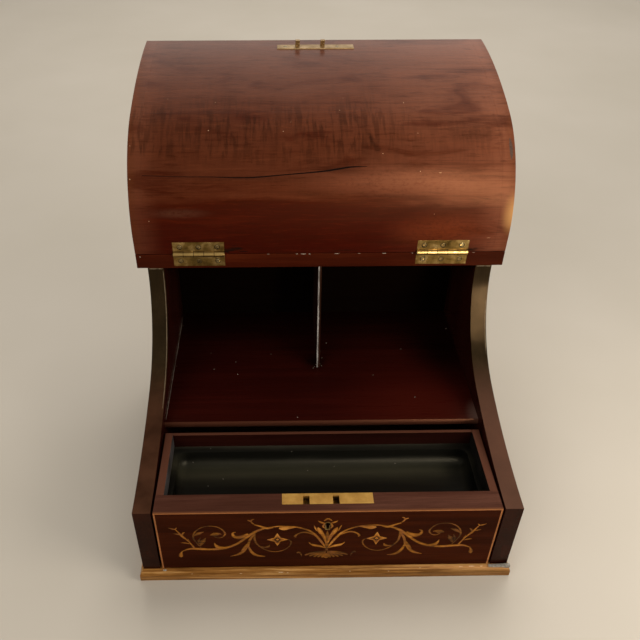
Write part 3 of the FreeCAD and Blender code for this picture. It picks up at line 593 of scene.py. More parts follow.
def inlay_wood(name):
    """Inlaid veneer, shaded by scorching from light to dark across each piece, pinker in places."""
    paint = polish(name, 0.12)
    shade = paint.add("Attribute", attribute_name="shade").outputs["Fac"]
    streaks = paint.noise((0.006, 0.002, 0.0014), 3)
    drift = paint.noise((0.013,) * 3, 2)
    for wander, strength in ((streaks, 0.9), (drift, 1.1)):
        shade = paint.math("ADD", shade, paint.times(paint.math("SUBTRACT", wander), strength))
    colour = paint.ramp(shade, INLAY_STOPS)
    pinker = paint.between(paint.noise((0.007,) * 3, 2), 0.5, 0.66, 0, 0.55)
    pinker = paint.times(pinker, paint.between(shade, 0.2, 0.5))
    colour = paint.mix(pinker, colour, PINKER)
    roughness = paint.between(streaks, 0.2, 0.8, 0.32, 0.42)
    return paint.finish(colour, roughness, streaks, strength=0.08)


INLAY_STOPS = (
    (0.0, (34, 14, 3)),
    (0.2, (78, 46, 14)),
    (0.45, (122, 74, 20)),
    (0.75, (166, 104, 32)),
    (1.0, (206, 138, 60)),
)


def steel(name):
    """Dull iron of the hidden screws."""
    paint = Paint(name, Metallic=1.0)
    patches = paint.noise((0.002,) * 3, 4)
    colour = paint.shades(patches, STEEL_TONES)
    return paint.finish(colour, paint.between(patches, 0.3, 0.7, 0.5, 0.35), patches, strength=0.1)


def crumbs(name, tones):
    """Chalky residue: old glue, bare wood and dust."""
    paint = Paint(name, Roughness=0.85, Specular_IOR_Level=0.05)
    lumps = paint.noise((0.0015,) * 3, 4, 0.7)
    colour = paint.shades(lumps, tones)
    return paint.finish(colour, height=lumps, relief=0.0004, strength=0.6)


# Dressing the CAD nodes

WELD_REACH = 0.01 * MM
EDGE_ANGLE = math.radians(40)
SIDE_EDGE = 0.7 * MM
TOP_EDGE = 0.5 * MM
BOARD_EDGE = 0.4 * MM
THIN_EDGE = 0.3 * MM
METAL_EDGE = 0.25 * MM
FINE_EDGE = 0.15 * MM
HAIR_EDGE = 0.1 * MM


def dress(names, material, edge=BOARD_EDGE):
    """Give nodes a material, and round their edges a little."""
    for name in names:
        piece = nodes[name]
        piece.data.materials.clear()
        piece.data.materials.append(material)
        if not edge:
            continue
        weld = piece.modifiers.new("weld", "WELD")
        weld.merge_threshold = WELD_REACH
        bevel = piece.modifiers.new("edges", "BEVEL")
        bevel.width = edge
        bevel.segments = 2
        bevel.limit_method = "ANGLE"
        bevel.angle_limit = EDGE_ANGLE
        bevel.use_clamp_overlap = True
        normals = piece.modifiers.new("normals", "WEIGHTED_NORMAL")
        normals.weight = 100
        normals.keep_sharp = False


# Back panel inside, nearly black as painted shade.
SHADED_BACK_TONES = ((4, 2, 1), (7, 3, 2), (12, 6, 4))
# Sides: the cove edges' tone holds a painted reflection.
SIDE_TONES_AND_SHEEN = ((30, 23, 13), (42, 32, 19), (54, 42, 26))
# Side faces darkened as painted shade.
SHADED_SIDE_FACES = ((28, 7, 4), (42, 13, 8), (58, 22, 13))
OUTER_FACES = ((40, 12, 6), (60, 22, 12), (82, 36, 21))
REAR_TONES = ((46, 22, 12), (68, 36, 22), (90, 53, 35))
LEDGE_TONES = ((50, 28, 17), (68, 41, 27))
# Painted light on the right side's ledge.
LIT_RIGHT_LEDGE = (112, 80, 66)
# Painted shade on the front of the feet.
SHADED_FOOT_TONES = ((30, 5, 0), (46, 13, 2))
FLOOR_TONES = ((34, 6, 4), (44, 9, 5), (56, 15, 9))
# Tone of painted shade on the floor.
FLOOR_SHADE = (8, 3, 2)
# Floor patches: a painted reflection at the front right, painted shade at the right rear and round the
# partition's foot, and a pale painted reflection at the far right front.
FLOOR_LIGHT_PATCHES = (
    ((84, -8, 85), (92, 62, FAR), (70, 19, 10), 0.5),
    ((124, 62, 85), (52, 56, FAR), FLOOR_SHADE, 0.8),
    ((-3, 44, 85), (16, 16, FAR), FLOOR_SHADE, 0.7),
    ((137, -29, 85), (12, 24, FAR), (120, 94, 82), 0.6),
)
NOSING_TONE = (74, 42, 29)
TOP_TONES = ((46, 10, 3), (66, 19, 6), (92, 36, 15))
CLEAT_TONES = ((70, 31, 12), (92, 45, 19), (114, 62, 29))
DRAWER_TONES = ((46, 22, 14), (68, 38, 28), (92, 58, 45))
RIM_TONE = (84, 50, 36)
# The left wall's lining is paler: grey dust and a painted reflection.
LEFT_LINING_DUST_AND_SHEEN = ((40, 38, 36), (86, 82, 81))
RIGHT_LINING = ((10, 9, 7), (28, 26, 23))
PARTITION_TONES = ((16, 7, 4), (30, 12, 8), (42, 19, 12))
# The partition's pale front edge, worn and with a painted highlight.
BARE_AND_LIT_TONES = ((84, 78, 72), (190, 184, 176))
STEEL_TONES = ((88, 82, 76), (140, 136, 130))
BACK_TONES = ((26, 7, 4), (40, 13, 9), (56, 22, 15))
BASE_TONES = ((94, 57, 20), (162, 111, 54), (214, 164, 100))
GROUND_TONES = ((36, 11, 2), (56, 20, 5), (76, 31, 10))
STRING_TONES = ((134, 80, 42), (170, 108, 62), (192, 130, 80))
BRASS_TONES = ((76, 58, 26), (128, 102, 54), (186, 158, 102))
# Place and tone of a painted highlight along the hinge knuckles.
KNUCKLE_HIGHLIGHT = ((0, 50.8, 202.85), (FAR, 5, 4))
KNUCKLE_HIGHLIGHT_TONE = (194, 162, 102)
PLATE_TONES = ((166, 122, 54), (184, 138, 64), (200, 154, 76))
LINK_TONES = ((134, 104, 62), (160, 130, 84), (182, 150, 104))
SCREW_TONES = ((86, 70, 42), (142, 122, 82), (196, 178, 132))


def dress_nodes():
    """Materials and edges of every node."""
    dress(("left_side", "right_side"), side_wood("side_wood"), SIDE_EDGE)
    dress(("pigeonhole_floor",), floor_wood("floor_wood"), 0)
    dress(("back_panel",), back_wood("back_wood"))
    dress(("drawer_stop", "lid_core"), wood("core_wood", "X", REAR_TONES, 0.4))
    dress(("top_board",), wood("top_wood", "X", TOP_TONES, 0.3), TOP_EDGE)
    dress(("partition",), partition_wood("partition_wood"), THIN_EDGE)
    dress(("lid_inner_veneer",), lid_veneer("lid_veneer", True), 0)
    dress(("lid_outer_veneer",), lid_veneer("lid_outer_veneer", False), 0)
    dress(("lid_left_cleat", "lid_right_cleat"), cleat_wood("cleat_wood"), FINE_EDGE)
    dress(("base_board",), base_wood("base_wood"), 0)
    dress(("drawer_front",), wood("drawer_wood", "X", DRAWER_TONES, 0.34))
    dress(("drawer_back",), wood("drawer_back_wood", "X", BACK_TONES, 0.34, edges=RIM_TONE))
    dress(("drawer_bottom", "pen_tray", "left_tray_ledge", "right_tray_ledge"),
          wood("drawer_inside_wood", "X", DRAWER_TONES, 0.5))
    dress(("drawer_left_wall",), drawer_wall("left_wall_wood", RIGHT, LEFT_LINING_DUST_AND_SHEEN))
    dress(("drawer_right_wall",), drawer_wall("right_wall_wood", LEFT, RIGHT_LINING))
    dress(("drawer_front_veneer",), wood("ground_veneer", "X", GROUND_TONES, 0.32, shine=0.02), 0)
    string_wood = wood("stringing_wood", "X", STRING_TONES, 0.4, edges=DRAWER_TONES[1])
    dress(("drawer_stringing",), string_wood, HAIR_EDGE)
    dress(("tray_lining",), leather("tray_leather"), 0)
    hinge_brass = brass("hinge_brass", BRASS_TONES, 0.3)
    dress(("left_hinge_carcass_leaf", "right_hinge_carcass_leaf", "left_hinge_lid_leaf",
           "right_hinge_lid_leaf", "left_hinge_pin", "right_hinge_pin", "keyhole_escutcheon",
           "lock_case", "lock_cap", "lock_bolt"), hinge_brass, METAL_EDGE)
    dress(("link_plate",), brass("link_brass", LINK_TONES, 0.4, 0.5), METAL_EDGE)
    dress(("carcass_hinge_screws", "lid_hinge_screws", "link_plate_screws", "lock_screws"),
          brass("screw_brass", SCREW_TONES, 0.22), FINE_EDGE)
    dress(("lock_plate",), brass("plate_brass", PLATE_TONES, 0.4, 0.6), FINE_EDGE)
    dress(("base_screws", "lock_post"), steel("screw_steel"), HAIR_EDGE)


# New pieces, as closed meshes

def add_mesh(name, shape, material):
    """An object from a bmesh."""
    mesh = bpy.data.meshes.new(name)
    shape.to_mesh(mesh)
    shape.free()
    mesh.materials.append(material)
    piece = bpy.data.objects.new(name, mesh)
    bpy.context.scene.collection.objects.link(piece)
    return piece


def add_piece(name, shape, material, body):
    """A piece from a bmesh, riding on a body."""
    bmesh.ops.recalc_face_normals(shape, faces=shape.faces)
    piece = add_mesh(name, shape, material)
    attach(piece, body)


CURVE_STEPS = 6


def smooth(knots):
    """Points on a smooth curve through the knots, which may carry widths as well as places."""
    knots = [Vector(knot) for knot in knots]
    ends = [2 * knots[0] - knots[1], *knots, 2 * knots[-1] - knots[-2]]
    points = []
    for before, first, second, after in zip(ends, ends[1:], ends[2:], ends[3:]):
        for step in range(CURVE_STEPS):
            t = step / CURVE_STEPS
            points.append(0.5 * (2 * first + (second - before) * t
                                 + (2 * before - 5 * first + 4 * second - after) * t ** 2
                                 + (3 * first - before - 3 * second + after) * t ** 3))
    points.append(knots[-1])
    return points


def headings(points):
    """The direction of a line at each of its points."""
    return [after - before for before, after in zip(points[:1] + points, points[1:] + points[-1:])]


def join_rings(shape, rings, loop=False):
    """Faces that join rings of corners in a row. A row that is no loop has both its ends closed."""
    followers = rings[1:] + rings[:1] if loop else rings[1:]
    for ring, following in zip(rings, followers):
        for index, corner in enumerate(ring):
            far = (index + 1) % len(ring)
            shape.faces.new((corner, ring[far], following[far], following[index]))
    if not loop:
        shape.faces.new(rings[0])
        shape.faces.new(rings[-1])


# Inlay of the drawer front
# A stroke has knots of distance from the middle, height and width, in millimetres.

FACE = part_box("drawer_front_veneer")[0].y
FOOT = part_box("drawer_front_veneer")[0].z
SUNK = 0.1 * MM
FIRST_LIFT = 0.03 * MM
NEXT_LIFT = 0.003 * MM
SWELL = 1.3
THINNEST = 0.2
BOTH_SIDES = (1, -1)

STEM = (
    (115.2, 23.5, 1), (109.2, 26, 2.4), (100.7, 25.6, 2.8), (91.6, 24.9, 2.4), (83.5, 26, 2.8),
    (76.5, 28.7, 2.6), (70.1, 33.3, 2.4), (63.5, 40.7, 2.8), (54.9, 48.6, 2.6), (47.5, 52, 1.6),
    (39.7, 53.8, 1.4), (34.7, 53.9, 1.4), (25.8, 53, 1.6), (18.6, 50.4, 1.8), (12.9, 46.6, 2),
    (8.3, 40.4, 2.2), (3.5, 31.3, 2), (0.9, 25, 0.8),
)
STEM_BULB = (
    (115.5, 23.5, 1), (116.7, 21.2, 1.4), (117.4, 18.5, 3.2), (117.6, 16.2, 3), (117.6, 14.8, 0.6),
)
SPRIG = (
    (106, 27.5, 1.8), (109.6, 35.7, 1.1), (112, 39.5, 1.5), (114.5, 43.3, 2.2), (117.3, 48.9, 1.1),
    (119, 52.1, 0.4),
)
SPRIG_LEAVES = (
    ((109.2, 32.8, 0.8), (112.5, 34, 1.6), (115.9, 34.4, 0.3)),
    ((108.6, 33.3, 0.8), (109.5, 36.6, 1.6), (110.2, 39.6, 0.3)),
    ((115.5, 44.7, 0.8), (118.2, 45.7, 1.5), (121.2, 46.4, 0.3)),
    ((114.2, 43.7, 0.8), (113.4, 46.5, 1.6), (111.8, 47.9, 0.3)),
    ((118.7, 51.7, 0.6), (121.4, 52.5, 1.4), (124.2, 53.8, 0.3)),
    ((119.1, 51.2, 0.6), (118.4, 52.8, 1.2), (117.4, 53.8, 0.3)),
)
SCROLL = (
    (100.5, 27.5, 0.8), (103.5, 33.6, 1.2), (105.7, 40.3, 1.5), (104.1, 47.7, 1.3), (98.6, 53.5, 1.1),
    (91.8, 55.3, 1), (84.8, 53.2, 1.1), (80.4, 46.2, 1.5), (82.7, 41.2, 1.2), (86.7, 40.3, 0.9),
    (89.6, 42.7, 0.6),
)
SCROLL_LEAVES = (
    ((105, 43.1, 1), (101.4, 46, 3), (96.8, 48.2, 0.4)),
    ((100.9, 30, 1.2), (98.6, 35.4, 4), (96, 40.1, 0.5)),
    ((101.5, 32, 0.8), (101.8, 36, 2.2), (100.2, 40.5, 0.4)),
    ((92.3, 43.8, 0.6), (88.6, 44.6, 4.6), (84.7, 45.4, 1.6), (83.4, 44.4, 0.4)),
)
BUD = ((89.6, 33.8, 0.4), (88.6, 30.2, 2.4), (85.6, 26.8, 4.4), (80, 26.6, 2.4))
CURL_LEAF = (
    (72, 47.4, 0.6), (74.4, 45.8, 1.8), (73.4, 41.6, 3), (68.6, 40.4, 4.2), (62.3, 44.6, 2),
)
FLAG = ((59.8, 61.6, 0.8), (59, 59, 1.5), (57.6, 57.2, 1))
FLAG_TIPS = (
    ((60.1, 60.6, 0.6), (61, 61.8, 1.4), (62.4, 62.2, 0.3)),
    ((60.1, 60.8, 0.6), (58.8, 62.6, 1.4), (57, 63.5, 0.3)),
)
FLAG_LEAF = ((57.2, 56.5, 1.2), (52, 54, 1.8), (47.6, 51.8, 2.8), (42.5, 52.6, 0.8))
BRIGHT_LEAF = ((38, 51.6, 1.6), (34.2, 51, 4), (29.7, 51.8, 2.4), (24.7, 52.6, 0.6))
BRANCH = ((57.5, 44.4, 1.6), (61.4, 36.4, 2.2), (63.1, 27.4, 1.8))
FORKS = (
    ((63.2, 28, 1.4), (67.1, 21.6, 2.6), (71.3, 17.6, 2.4), (77.8, 15.1, 0.4)),
    ((62.6, 27.9, 1.4), (60.2, 20.4, 2.6), (55.8, 15.6, 2.6), (49.4, 14.4, 0.4)),
    ((62.8, 33, 0.6), (65.5, 27, 2.6), (68.5, 22.5, 0.5)),
)
STAR_LOOP = (
    (57.2, 45.2, 1.4), (57.4, 37.3, 1.8), (55.4, 30.6, 1.5), (49.8, 23.9, 1.2), (42.4, 20.6, 1.1),
    (34.9, 22.4, 1.1), (29.7, 28.1, 1.2), (28.6, 33.8, 1.3), (31, 37.2, 0.8),
)
LOOP_CURL = ((53.7, 28, 0.5), (49.7, 26.6, 1.8), (46.8, 27.6, 2.4), (45.6, 30, 0.6))
STAR_MIDDLE = (39.4, 36.8)
CROWN_TOP = ((3.2, 60, 0.5), (1.7, 61.6, 1.5), (0, 62.9, 1.9))
CROWN = (
    ((2.1, 57, 0.6), (5, 58.2, 2), (7.8, 60.2, 0.4)),
    ((2.6, 56.6, 0.5), (3.6, 53.4, 1.8), (2.4, 50.6, 0.4)),
)
PALM_PETALS = (
    ((0.4, 31, 1), (3.2, 41, 2.6), (6.3, 48.2, 3.8), (7.6, 51.8, 0.8)),
    ((8.6, 47.4, 0.5), (9.8, 51.5, 1.3), (10.8, 54.6, 0.2)),
    ((0.6, 33, 0.8), (2.4, 40.5, 2.2), (4, 45.6, 0.4)),
)
PALM_MIDDLE = ((0, 21.5, 2.2), (0, 27, 3.4), (0, 34, 2.2), (0, 41, 3), (0, 47.6, 0.4))
VOLUTE = (
    (8.9, 41, 1), (14.2, 44.9, 1.8), (18.7, 45.9, 1.8), (23.2, 44, 1.5), (25.4, 41, 2),
    (24.6, 39.4, 0.8),
)
LOW_LEAVES = (
    ((0.3, 24.4, 0.8), (5.3, 27.2, 2.4), (10.4, 28.8, 2.8), (12.2, 30.4, 0.8)),
    ((12, 29.2, 0.8), (13.4, 31.2, 1.3), (14.4, 32.7, 0.2)),
)
SHELL_ROOT = (0.6, 20.6)
SHELL_TIPS = ((17.4, 15.4), (13.6, 13.8), (10, 12.8), (6.6, 12.2), (3.4, 11.6))
SHELL_BEND = 0.6
RAY_RISE = 0.8
RAY_WIDTHS = (0.8, 3, 1.4)
SHELL_BOSS = ((0, 14.2), 3.4, 0.9 * 3.4)
SHELL_CURL = ((19.9, 14, 0.6), (20.8, 17.6, 1.6), (22.6, 19.3, 2.2), (24, 18.4, 0.8))

WARM = (0.42, 0.8, 0.5)
DEEP = (0.3, 0.56, 0.38)
PALE = (0.7, 1.0, 0.75)
OLIVE = (0.16, 0.38, 0.22)
SCORCHED = (-0.1, 0.05, -0.1)
STAR_LAYERS = ((8.4, 3.6, PALE), (5.6, 2.5, DEEP), (2.9, 2.1, SCORCHED), (1.5, 1.1, PALE))
STAR_STEP = 0.012 * MM


class Inlay:
    """One piece of inlay, made of strokes and flat shapes."""

    def __init__(self):
        self.shape = bmesh.new()
        self.shade = self.shape.verts.layers.float.new("shade")
        self.lift = FIRST_LIFT

    def corner(self, across, height, lift, shade):
        """A corner of the mesh."""
        vertex = self.shape.verts.new((across * MM, FACE - lift, FOOT + height * MM))
        vertex[self.shade] = shade
        return vertex

    def stroke(self, knots, side, tones):
        """A ribbon through the knots, with tones at one edge, the middle and the other edge."""
        self.lift += NEXT_LIFT
        points = smooth(knots)
        rings = []
        section = ((1, self.lift, tones[0]), (0, self.lift * SWELL, tones[1]),
                   (-1, self.lift, tones[2]), (-1, -SUNK, 0), (1, -SUNK, 0))
        for (across, height, width), heading in zip(points, headings(points)):
            run = heading.xy.normalized()
            reach = Vector((-run.y, run.x)) * max(width, THINNEST) / 2
            ring = []
            for share, lift, shade in section:
                place = (side * (across + share * reach.x), height + share * reach.y)
                ring.append(self.corner(*place, lift, shade))
            rings.append(ring)
        join_rings(self.shape, rings)

    def strokes(self, drawings, tones):
        """Strokes on both sides of the middle."""
        for knots in drawings:
            for side in BOTH_SIDES:
                self.stroke(knots, side, tones)

    def fan(self, outline, middle, tones):
        """A flat shape round a middle point: tones of the middle, the tips and the waists."""
        self.lift += NEXT_LIFT
        hub = self.corner(*middle, self.lift * SWELL, tones[0])
        front = []
        for index, place in enumerate(outline):
            front.append(self.corner(*place, self.lift, tones[1 + index % 2]))
        back = [self.corner(*place, -SUNK, 0) for place in outline]
        for index in range(len(outline)):
            far = (index + 1) % len(outline)
            self.shape.faces.new((hub, front[index], front[far]))
            self.shape.faces.new((front[index], back[index], back[far], front[far]))
        self.shape.faces.new(back)

    def star(self, middle, reach, waist, tones):
        """A star of four points."""
        outline = []
        for index in range(8):
            radius = waist if index % 2 else reach
            turn = index * math.pi / 4
            outline.append((middle[0] + radius * math.cos(turn), middle[1] + radius * math.sin(turn)))
        self.fan(outline, middle, tones)


def make_inlay():
    """Scrolls, leaves, stars, palmette and shell of the drawer front."""
    scrolls = Inlay()
    scrolls.strokes((SCROLL, STAR_LOOP, LOOP_CURL), OLIVE)
    scrolls.strokes((BRANCH, *FORKS), DEEP)
    scrolls.strokes((STEM, STEM_BULB, SPRIG), WARM)
    leaves = Inlay()
    leaves.strokes(SPRIG_LEAVES, DEEP)
    leaves.strokes(SCROLL_LEAVES, OLIVE)
    leaves.strokes((BUD, CURL_LEAF, FLAG, *FLAG_TIPS, FLAG_LEAF), WARM)
    leaves.strokes((BRIGHT_LEAF,), PALE)
    stars = Inlay()
    for side in BOTH_SIDES:
        middle = (side * STAR_MIDDLE[0], STAR_MIDDLE[1])
        for reach, waist, tones in STAR_LAYERS:
            stars.star(middle, reach, waist, tones)
            stars.lift += STAR_STEP
    palmette = Inlay()
    palmette.strokes((VOLUTE,), DEEP)
    palmette.strokes(LOW_LEAVES, WARM)
    palmette.stroke(PALM_MIDDLE, 1, OLIVE)
    palmette.strokes(PALM_PETALS, WARM)
    palmette.strokes((CROWN_TOP, *CROWN), WARM)
    shell = Inlay()
    for tip in SHELL_TIPS:
        across, height = (root + SHELL_BEND * (end - root) for root, end in zip(SHELL_ROOT, tip))
        places = (SHELL_ROOT, (across, height + RAY_RISE), tip)
        ray = [(*place, width) for place, width in zip(places, RAY_WIDTHS)]
        shell.strokes((ray,), OLIVE)
    shell.strokes((SHELL_CURL,), OLIVE)
    shell.star(*SHELL_BOSS, DEEP)
    light_wood = inlay_wood("inlay_wood")
    pieces = {"scrolls": scrolls, "leaves": leaves, "stars": stars, "palmette": palmette, "shell": shell}
    for name, inlay in pieces.items():
        add_piece("inlay_" + name, inlay.shape, light_wood, "drawer")


# Wear, dust and repairs

START_ABOVE = 150
SEAM_LIFT = 0.05 * MM
DUST_LIFT = 0.06 * MM
CRUMB_SPREAD = (0.75, 1.25)
CRUMB_HEIGHT = 0.3


def surface(name):
    """The surface of a node, for finding points on it."""
    mesh = nodes[name].data
    return BVHTree.FromPolygons([vertex.co for vertex in mesh.vertices],
                                [polygon.vertices for polygon in mesh.polygons])


def from_front(tree, across, height):
    """The point of a surface that is seen straight from the front, and its normal."""
    return tree.ray_cast(Vector((across * MM, -1, height * MM)), Vector(REAR))[:2]


def from_above(tree, across, depth):
    """The point of a surface that is seen straight from above the floor, and its normal."""
    return tree.ray_cast(Vector((across, depth, START_ABOVE)) * MM, Vector(DOWN))[:2]


def seam(shape, rows, lift):
    """A thin ribbon on a surface: each row is a point, the normal there and a width in millimetres."""
    rings = []
    for (place, normal, width), heading in zip(rows, headings([row[0] for row in rows])):
        across = normal.cross(heading).normalized() * width * MM / 2
        rings.append([shape.verts.new(place + across), shape.verts.new(place + normal * lift),
                      shape.verts.new(place - across), shape.verts.new(place - normal * lift)])
    join_rings(shape, rings)


def fleck(shape, place, normal, sizes, draw):
    """A flat crumb on a surface, with sizes along the surface in millimetres."""
    side = normal.orthogonal().normalized() if abs(normal.x) > 0.5 else normal.cross(Vector(RIGHT))
    along = side.cross(normal)
    made = bmesh.ops.create_icosphere(shape, subdivisions=1, radius=0.5)
    for vertex in made["verts"]:
        spread = vertex.co * draw.uniform(*CRUMB_SPREAD)
        vertex.co = (place + along * spread.x * sizes[0] * MM + side * spread.y * sizes[1] * MM
                     + normal * spread.z * min(sizes) * CRUMB_HEIGHT * MM)


def scatter(shape, tree, look, marks, draw):
    """Flecks on a surface: each mark has its place across, its height or depth, and its two sizes."""
    for across, far, long, wide in marks:
        fleck(shape, *look(tree, across, far), (long, wide), draw)


CRACK = (
    (-147, 269.5, 0.45), (-120, 268.6, 0.5), (-90, 268.2, 0.55), (-60, 267.6, 1), (-30, 269.4, 0.9),
    (0, 271.4, 1.2), (12, 272.8, 1.5), (24, 274.2, 1.2), (37, 274.4, 0.4),
)
LID_FLECKS = (
    (50, 282.5, 1.1, 0.7), (80.5, 271, 0.9, 0.7), (97, 270, 2.6, 0.5), (71, 308, 0.5, 2),
    (79.5, 294, 1.4, 0.4), (93.5, 239, 0.7, 0.5), (142, 217, 3.4, 0.4), (-129, 310, 0.8, 0.6),
    (-88.5, 308.5, 0.9, 0.7), (-93, 296, 0.7, 1.2), (-157, 288, 0.7, 0.7), (-157, 267, 1.1, 1.1),
    (-25, 300, 0.6, 0.5), (20, 310, 0.5, 0.5), (-60, 322, 0.4, 0.4), (130, 322, 0.6, 0.4),
)
LID_GRIME = (
    (-77, 206.6, 7, 1.6), (-71, 208.6, 8, 1), (-66, 205.2, 9, 0.9), (-80, 204.8, 3.4, 1.8),
    (-74, 211, 5, 0.6), (128, 205.4, 5, 1.3), (133, 206.6, 4, 0.7),
)
CLEAT_MARK = ((155.3, 291, 0.6), (155.6, 287, 2.6), (155.8, 282, 2.4), (155.6, 278, 0.5))

CLEAT_START = 148
CRACK_TONES = ((14, 6, 3), (30, 13, 7))
FLECK_TONES = ((176, 128, 92), (214, 178, 142))
GRIME_TONES = ((12, 6, 4), (34, 16, 10))
BRUISE_TONES = ((78, 60, 50), (106, 82, 70))


def front_line(tree, knots):
    """Rows of a seam through knots of distance across, height and width, seen from the front."""
    return [(*from_front(tree, knot.x, knot.y), knot.z) for knot in smooth(knots)]


def make_lid_marks():
    """The crack in the lid's veneer, pale flecks, grime by the hinges and a bruise on the right cleat."""
    draw = random.Random(4)
    veneer = surface("lid_inner_veneer")
    left = surface("lid_left_cleat")
    right = surface("lid_right_cleat")
    crack = bmesh.new()
    seam(crack, front_line(veneer, CRACK), SEAM_LIFT)
    add_piece("lid_crack", crack, crumbs("crack_filling", CRACK_TONES), "lid")
    flecks = bmesh.new()
    for mark in LID_FLECKS:
        tree = left if mark[0] < -CLEAT_START else right if mark[0] > CLEAT_START else veneer
        scatter(flecks, tree, from_front, (mark,), draw)
    add_piece("lid_flecks", flecks, crumbs("fleck_wood", FLECK_TONES), "lid")
    grime = bmesh.new()
    scatter(grime, veneer, from_front, LID_GRIME, draw)
    add_piece("lid_grime", grime, crumbs("grime", GRIME_TONES), "lid")
    bruise = bmesh.new()
    seam(bruise, front_line(right, CLEAT_MARK), SEAM_LIFT)
    add_piece("cleat_bruise", bruise, crumbs("bruise", BRUISE_TONES), "lid")


SCREW_REACH = 6 * MM
SCREW_RING = (0.28 * MM, 0.2 * MM)
SCREW_SINK = 0.08 * MM
KNUCKLE_COUNT = 5
KNUCKLE_RADIUS = 2.5 * MM
KNUCKLE_RING = (0.1 * MM, 0.32 * MM)
RING_TURNS = 16


def screw_boxes(name):
    """The separate screws of a node, each as its lowest and highest corner."""
    groups = []
    for vertex in nodes[name].data.vertices:
        near = [group for group in groups if (group[0] - vertex.co).length < SCREW_REACH]
        if near:
            near[0].append(vertex.co)
        else:
            groups.append([vertex.co])
    return [(Vector(map(min, *group)), Vector(map(max, *group))) for group in groups]


def add_ring(shape, middle, axis, radius, section):
    """A closed ring about an axis. Its section reaches outward and along the axis."""
    first = axis.orthogonal().normalized()
    second = axis.cross(first)
    rows = []
    for turn in range(RING_TURNS):
        angle = turn * 2 * math.pi / RING_TURNS
        out = first * math.cos(angle) + second * math.sin(angle)
        place = middle + out * radius
        steps = (out * section[0], axis * section[1], -out * section[0], -axis * section[1])
        rows.append([shape.verts.new(place + step) for step in steps])
    join_rings(shape, rows, loop=True)


def make_hinge_dirt():
    """Rings of old polish round the heads of the hinge screws and between the knuckles."""
    dirt = crumbs("old_polish", ((24, 15, 7), (48, 34, 16)))
    for body in ("carcass", "lid"):
        rings = bmesh.new()
        for low, high in screw_boxes(body + "_hinge_screws"):
            middle = (low + high) / 2
            middle.y = low.y + SCREW_SINK
            add_ring(rings, middle, Vector(FRONT), (high.x - low.x) / 2, SCREW_RING)
        add_piece(body + "_screw_dirt", rings, dirt, body)
    joints = bmesh.new()
    for side in ("left", "right"):
        low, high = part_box(side + "_hinge_pin")
        for step in range(1, KNUCKLE_COUNT):
            middle = (low + high) / 2
            middle.x = low.x + (high.x - low.x) * step / KNUCKLE_COUNT
            add_ring(joints, middle, Vector(RIGHT), KNUCKLE_RADIUS, KNUCKLE_RING)
    add_piece("knuckle_dirt", joints, dirt, "carcass")


JOINT_CHIPS = (
    (-20.5, 202.1, 2.4, 0.8), (-15, 202.1, 4.6, 0.8), (-9.5, 202.1, 2.6, 0.7), (14, 202.2, 5, 0.5),
    (33, 202.2, 3, 0.4), (55, 202.1, 4.4, 0.6), (79, 202, 1.2, 0.9), (-83.6, 201.4, 2.2, 1.8),
    (-45, 202.2, 3, 0.4), (-155.2, 200.4, 1.1, 1), (132, 202.1, 3, 0.5),
)
UNDER_BOARD = 188.2
UNDER_WIDTHS = (0.5, 1.1)
LEFT_ARRIS = (186, 0.3), (170, 0.6), (150, 0.5), (130, 0.6), (115, 0.4), (104, 0.5), (98, 0.2)
# The right line is a painted highlight down the outer arris of the right side.
RIGHT_ARRIS_HIGHLIGHT = (156, 0.2), (148, 0.6), (138, 0.7), (126, 0.6), (117, 0.2)
DUST_LINE = (
    (118, 0.1), (100, 0.4), (84, 0.2), (66, 0.5), (48, 0.2), (30, 0.5), (10, 0.3), (-14, 0.4), (-30, 0.1),
)
DUST_EDGE = 0.6 - SIDE_INNER
FLOOR_DUST = (
    (-77.8, 45.1), (-44.4, 56.3), (-102.5, 58.7), (82.3, 61.8), (85.3, -5.3), (50.8, 24.6), (9.7, 72.1),
    (-133.8, 101.5), (-133.6, 40), (-3.2, 37.5), (3.4, 38.6), (2.6, 42), (-4.6, 35.4), (4.6, 50), (3, 60),
)
TRAY_DUST = (-85.1, -72.1), (-97.3, -79.4), (9.9, -60), (-13.1, -64), (62.7, -58)
FLOOR_SPECK = ((0.7, 1.4), 0.8)
TRAY_SPECK = ((0.6, 1.1), 0.7)
BASE_TOP = 11
WEDGE = (134.6, 0.3), (138, 0.9), (142, 1.4), (146, 2.1), (150, 2.6), (152.2, 1.6)
WEDGE_MIDDLE = -128.8
WEDGE_REACH = 1.5
WEDGE_TURNS = 8
WEDGE_SPREAD = (0.85, 1.15)
RESIDUE = (-132.4, -128.2, 3.4, 1.6)
RUB_STEPS = 5
CHIP_TONES = ((150, 122, 96), (216, 204, 186))
# Tones of the rubbed edges and of a painted highlight.
RUBBED_AND_LIT_TONES = ((86, 70, 50), (150, 134, 110))
DUST_TONES = ((86, 76, 66), (178, 168, 152))
GLUE_TONES = ((104, 96, 86), (174, 168, 156))
SCUFF_TONES = ((178, 142, 98), (222, 202, 172))
BASE_SCUFFS = (
    (-36.8, -130.3, 5, 0.9), (-31.5, -130.5, 2, 0.6), (112, -128.6, 4, 0.6),
    (121, -128.4, 6, 0.6), (129, -128.5, 3, 0.5), (-70, -130.5, 2.4, 0.5), (78, -129, 2.4, 0.5),
    (20, -130.2, 1.6, 0.5), (-110, -130.4, 1.8, 0.5), (52, -130.4, 1.2, 0.5),
)


def make_chips(draw):
    """Chips along the joint between the lid and the top board."""
    chips = bmesh.new()
    scatter(chips, surface("top_board"), from_front, JOINT_CHIPS, draw)
    add_piece("joint_chips", chips, crumbs("chip_wood", CHIP_TONES), "carcass")


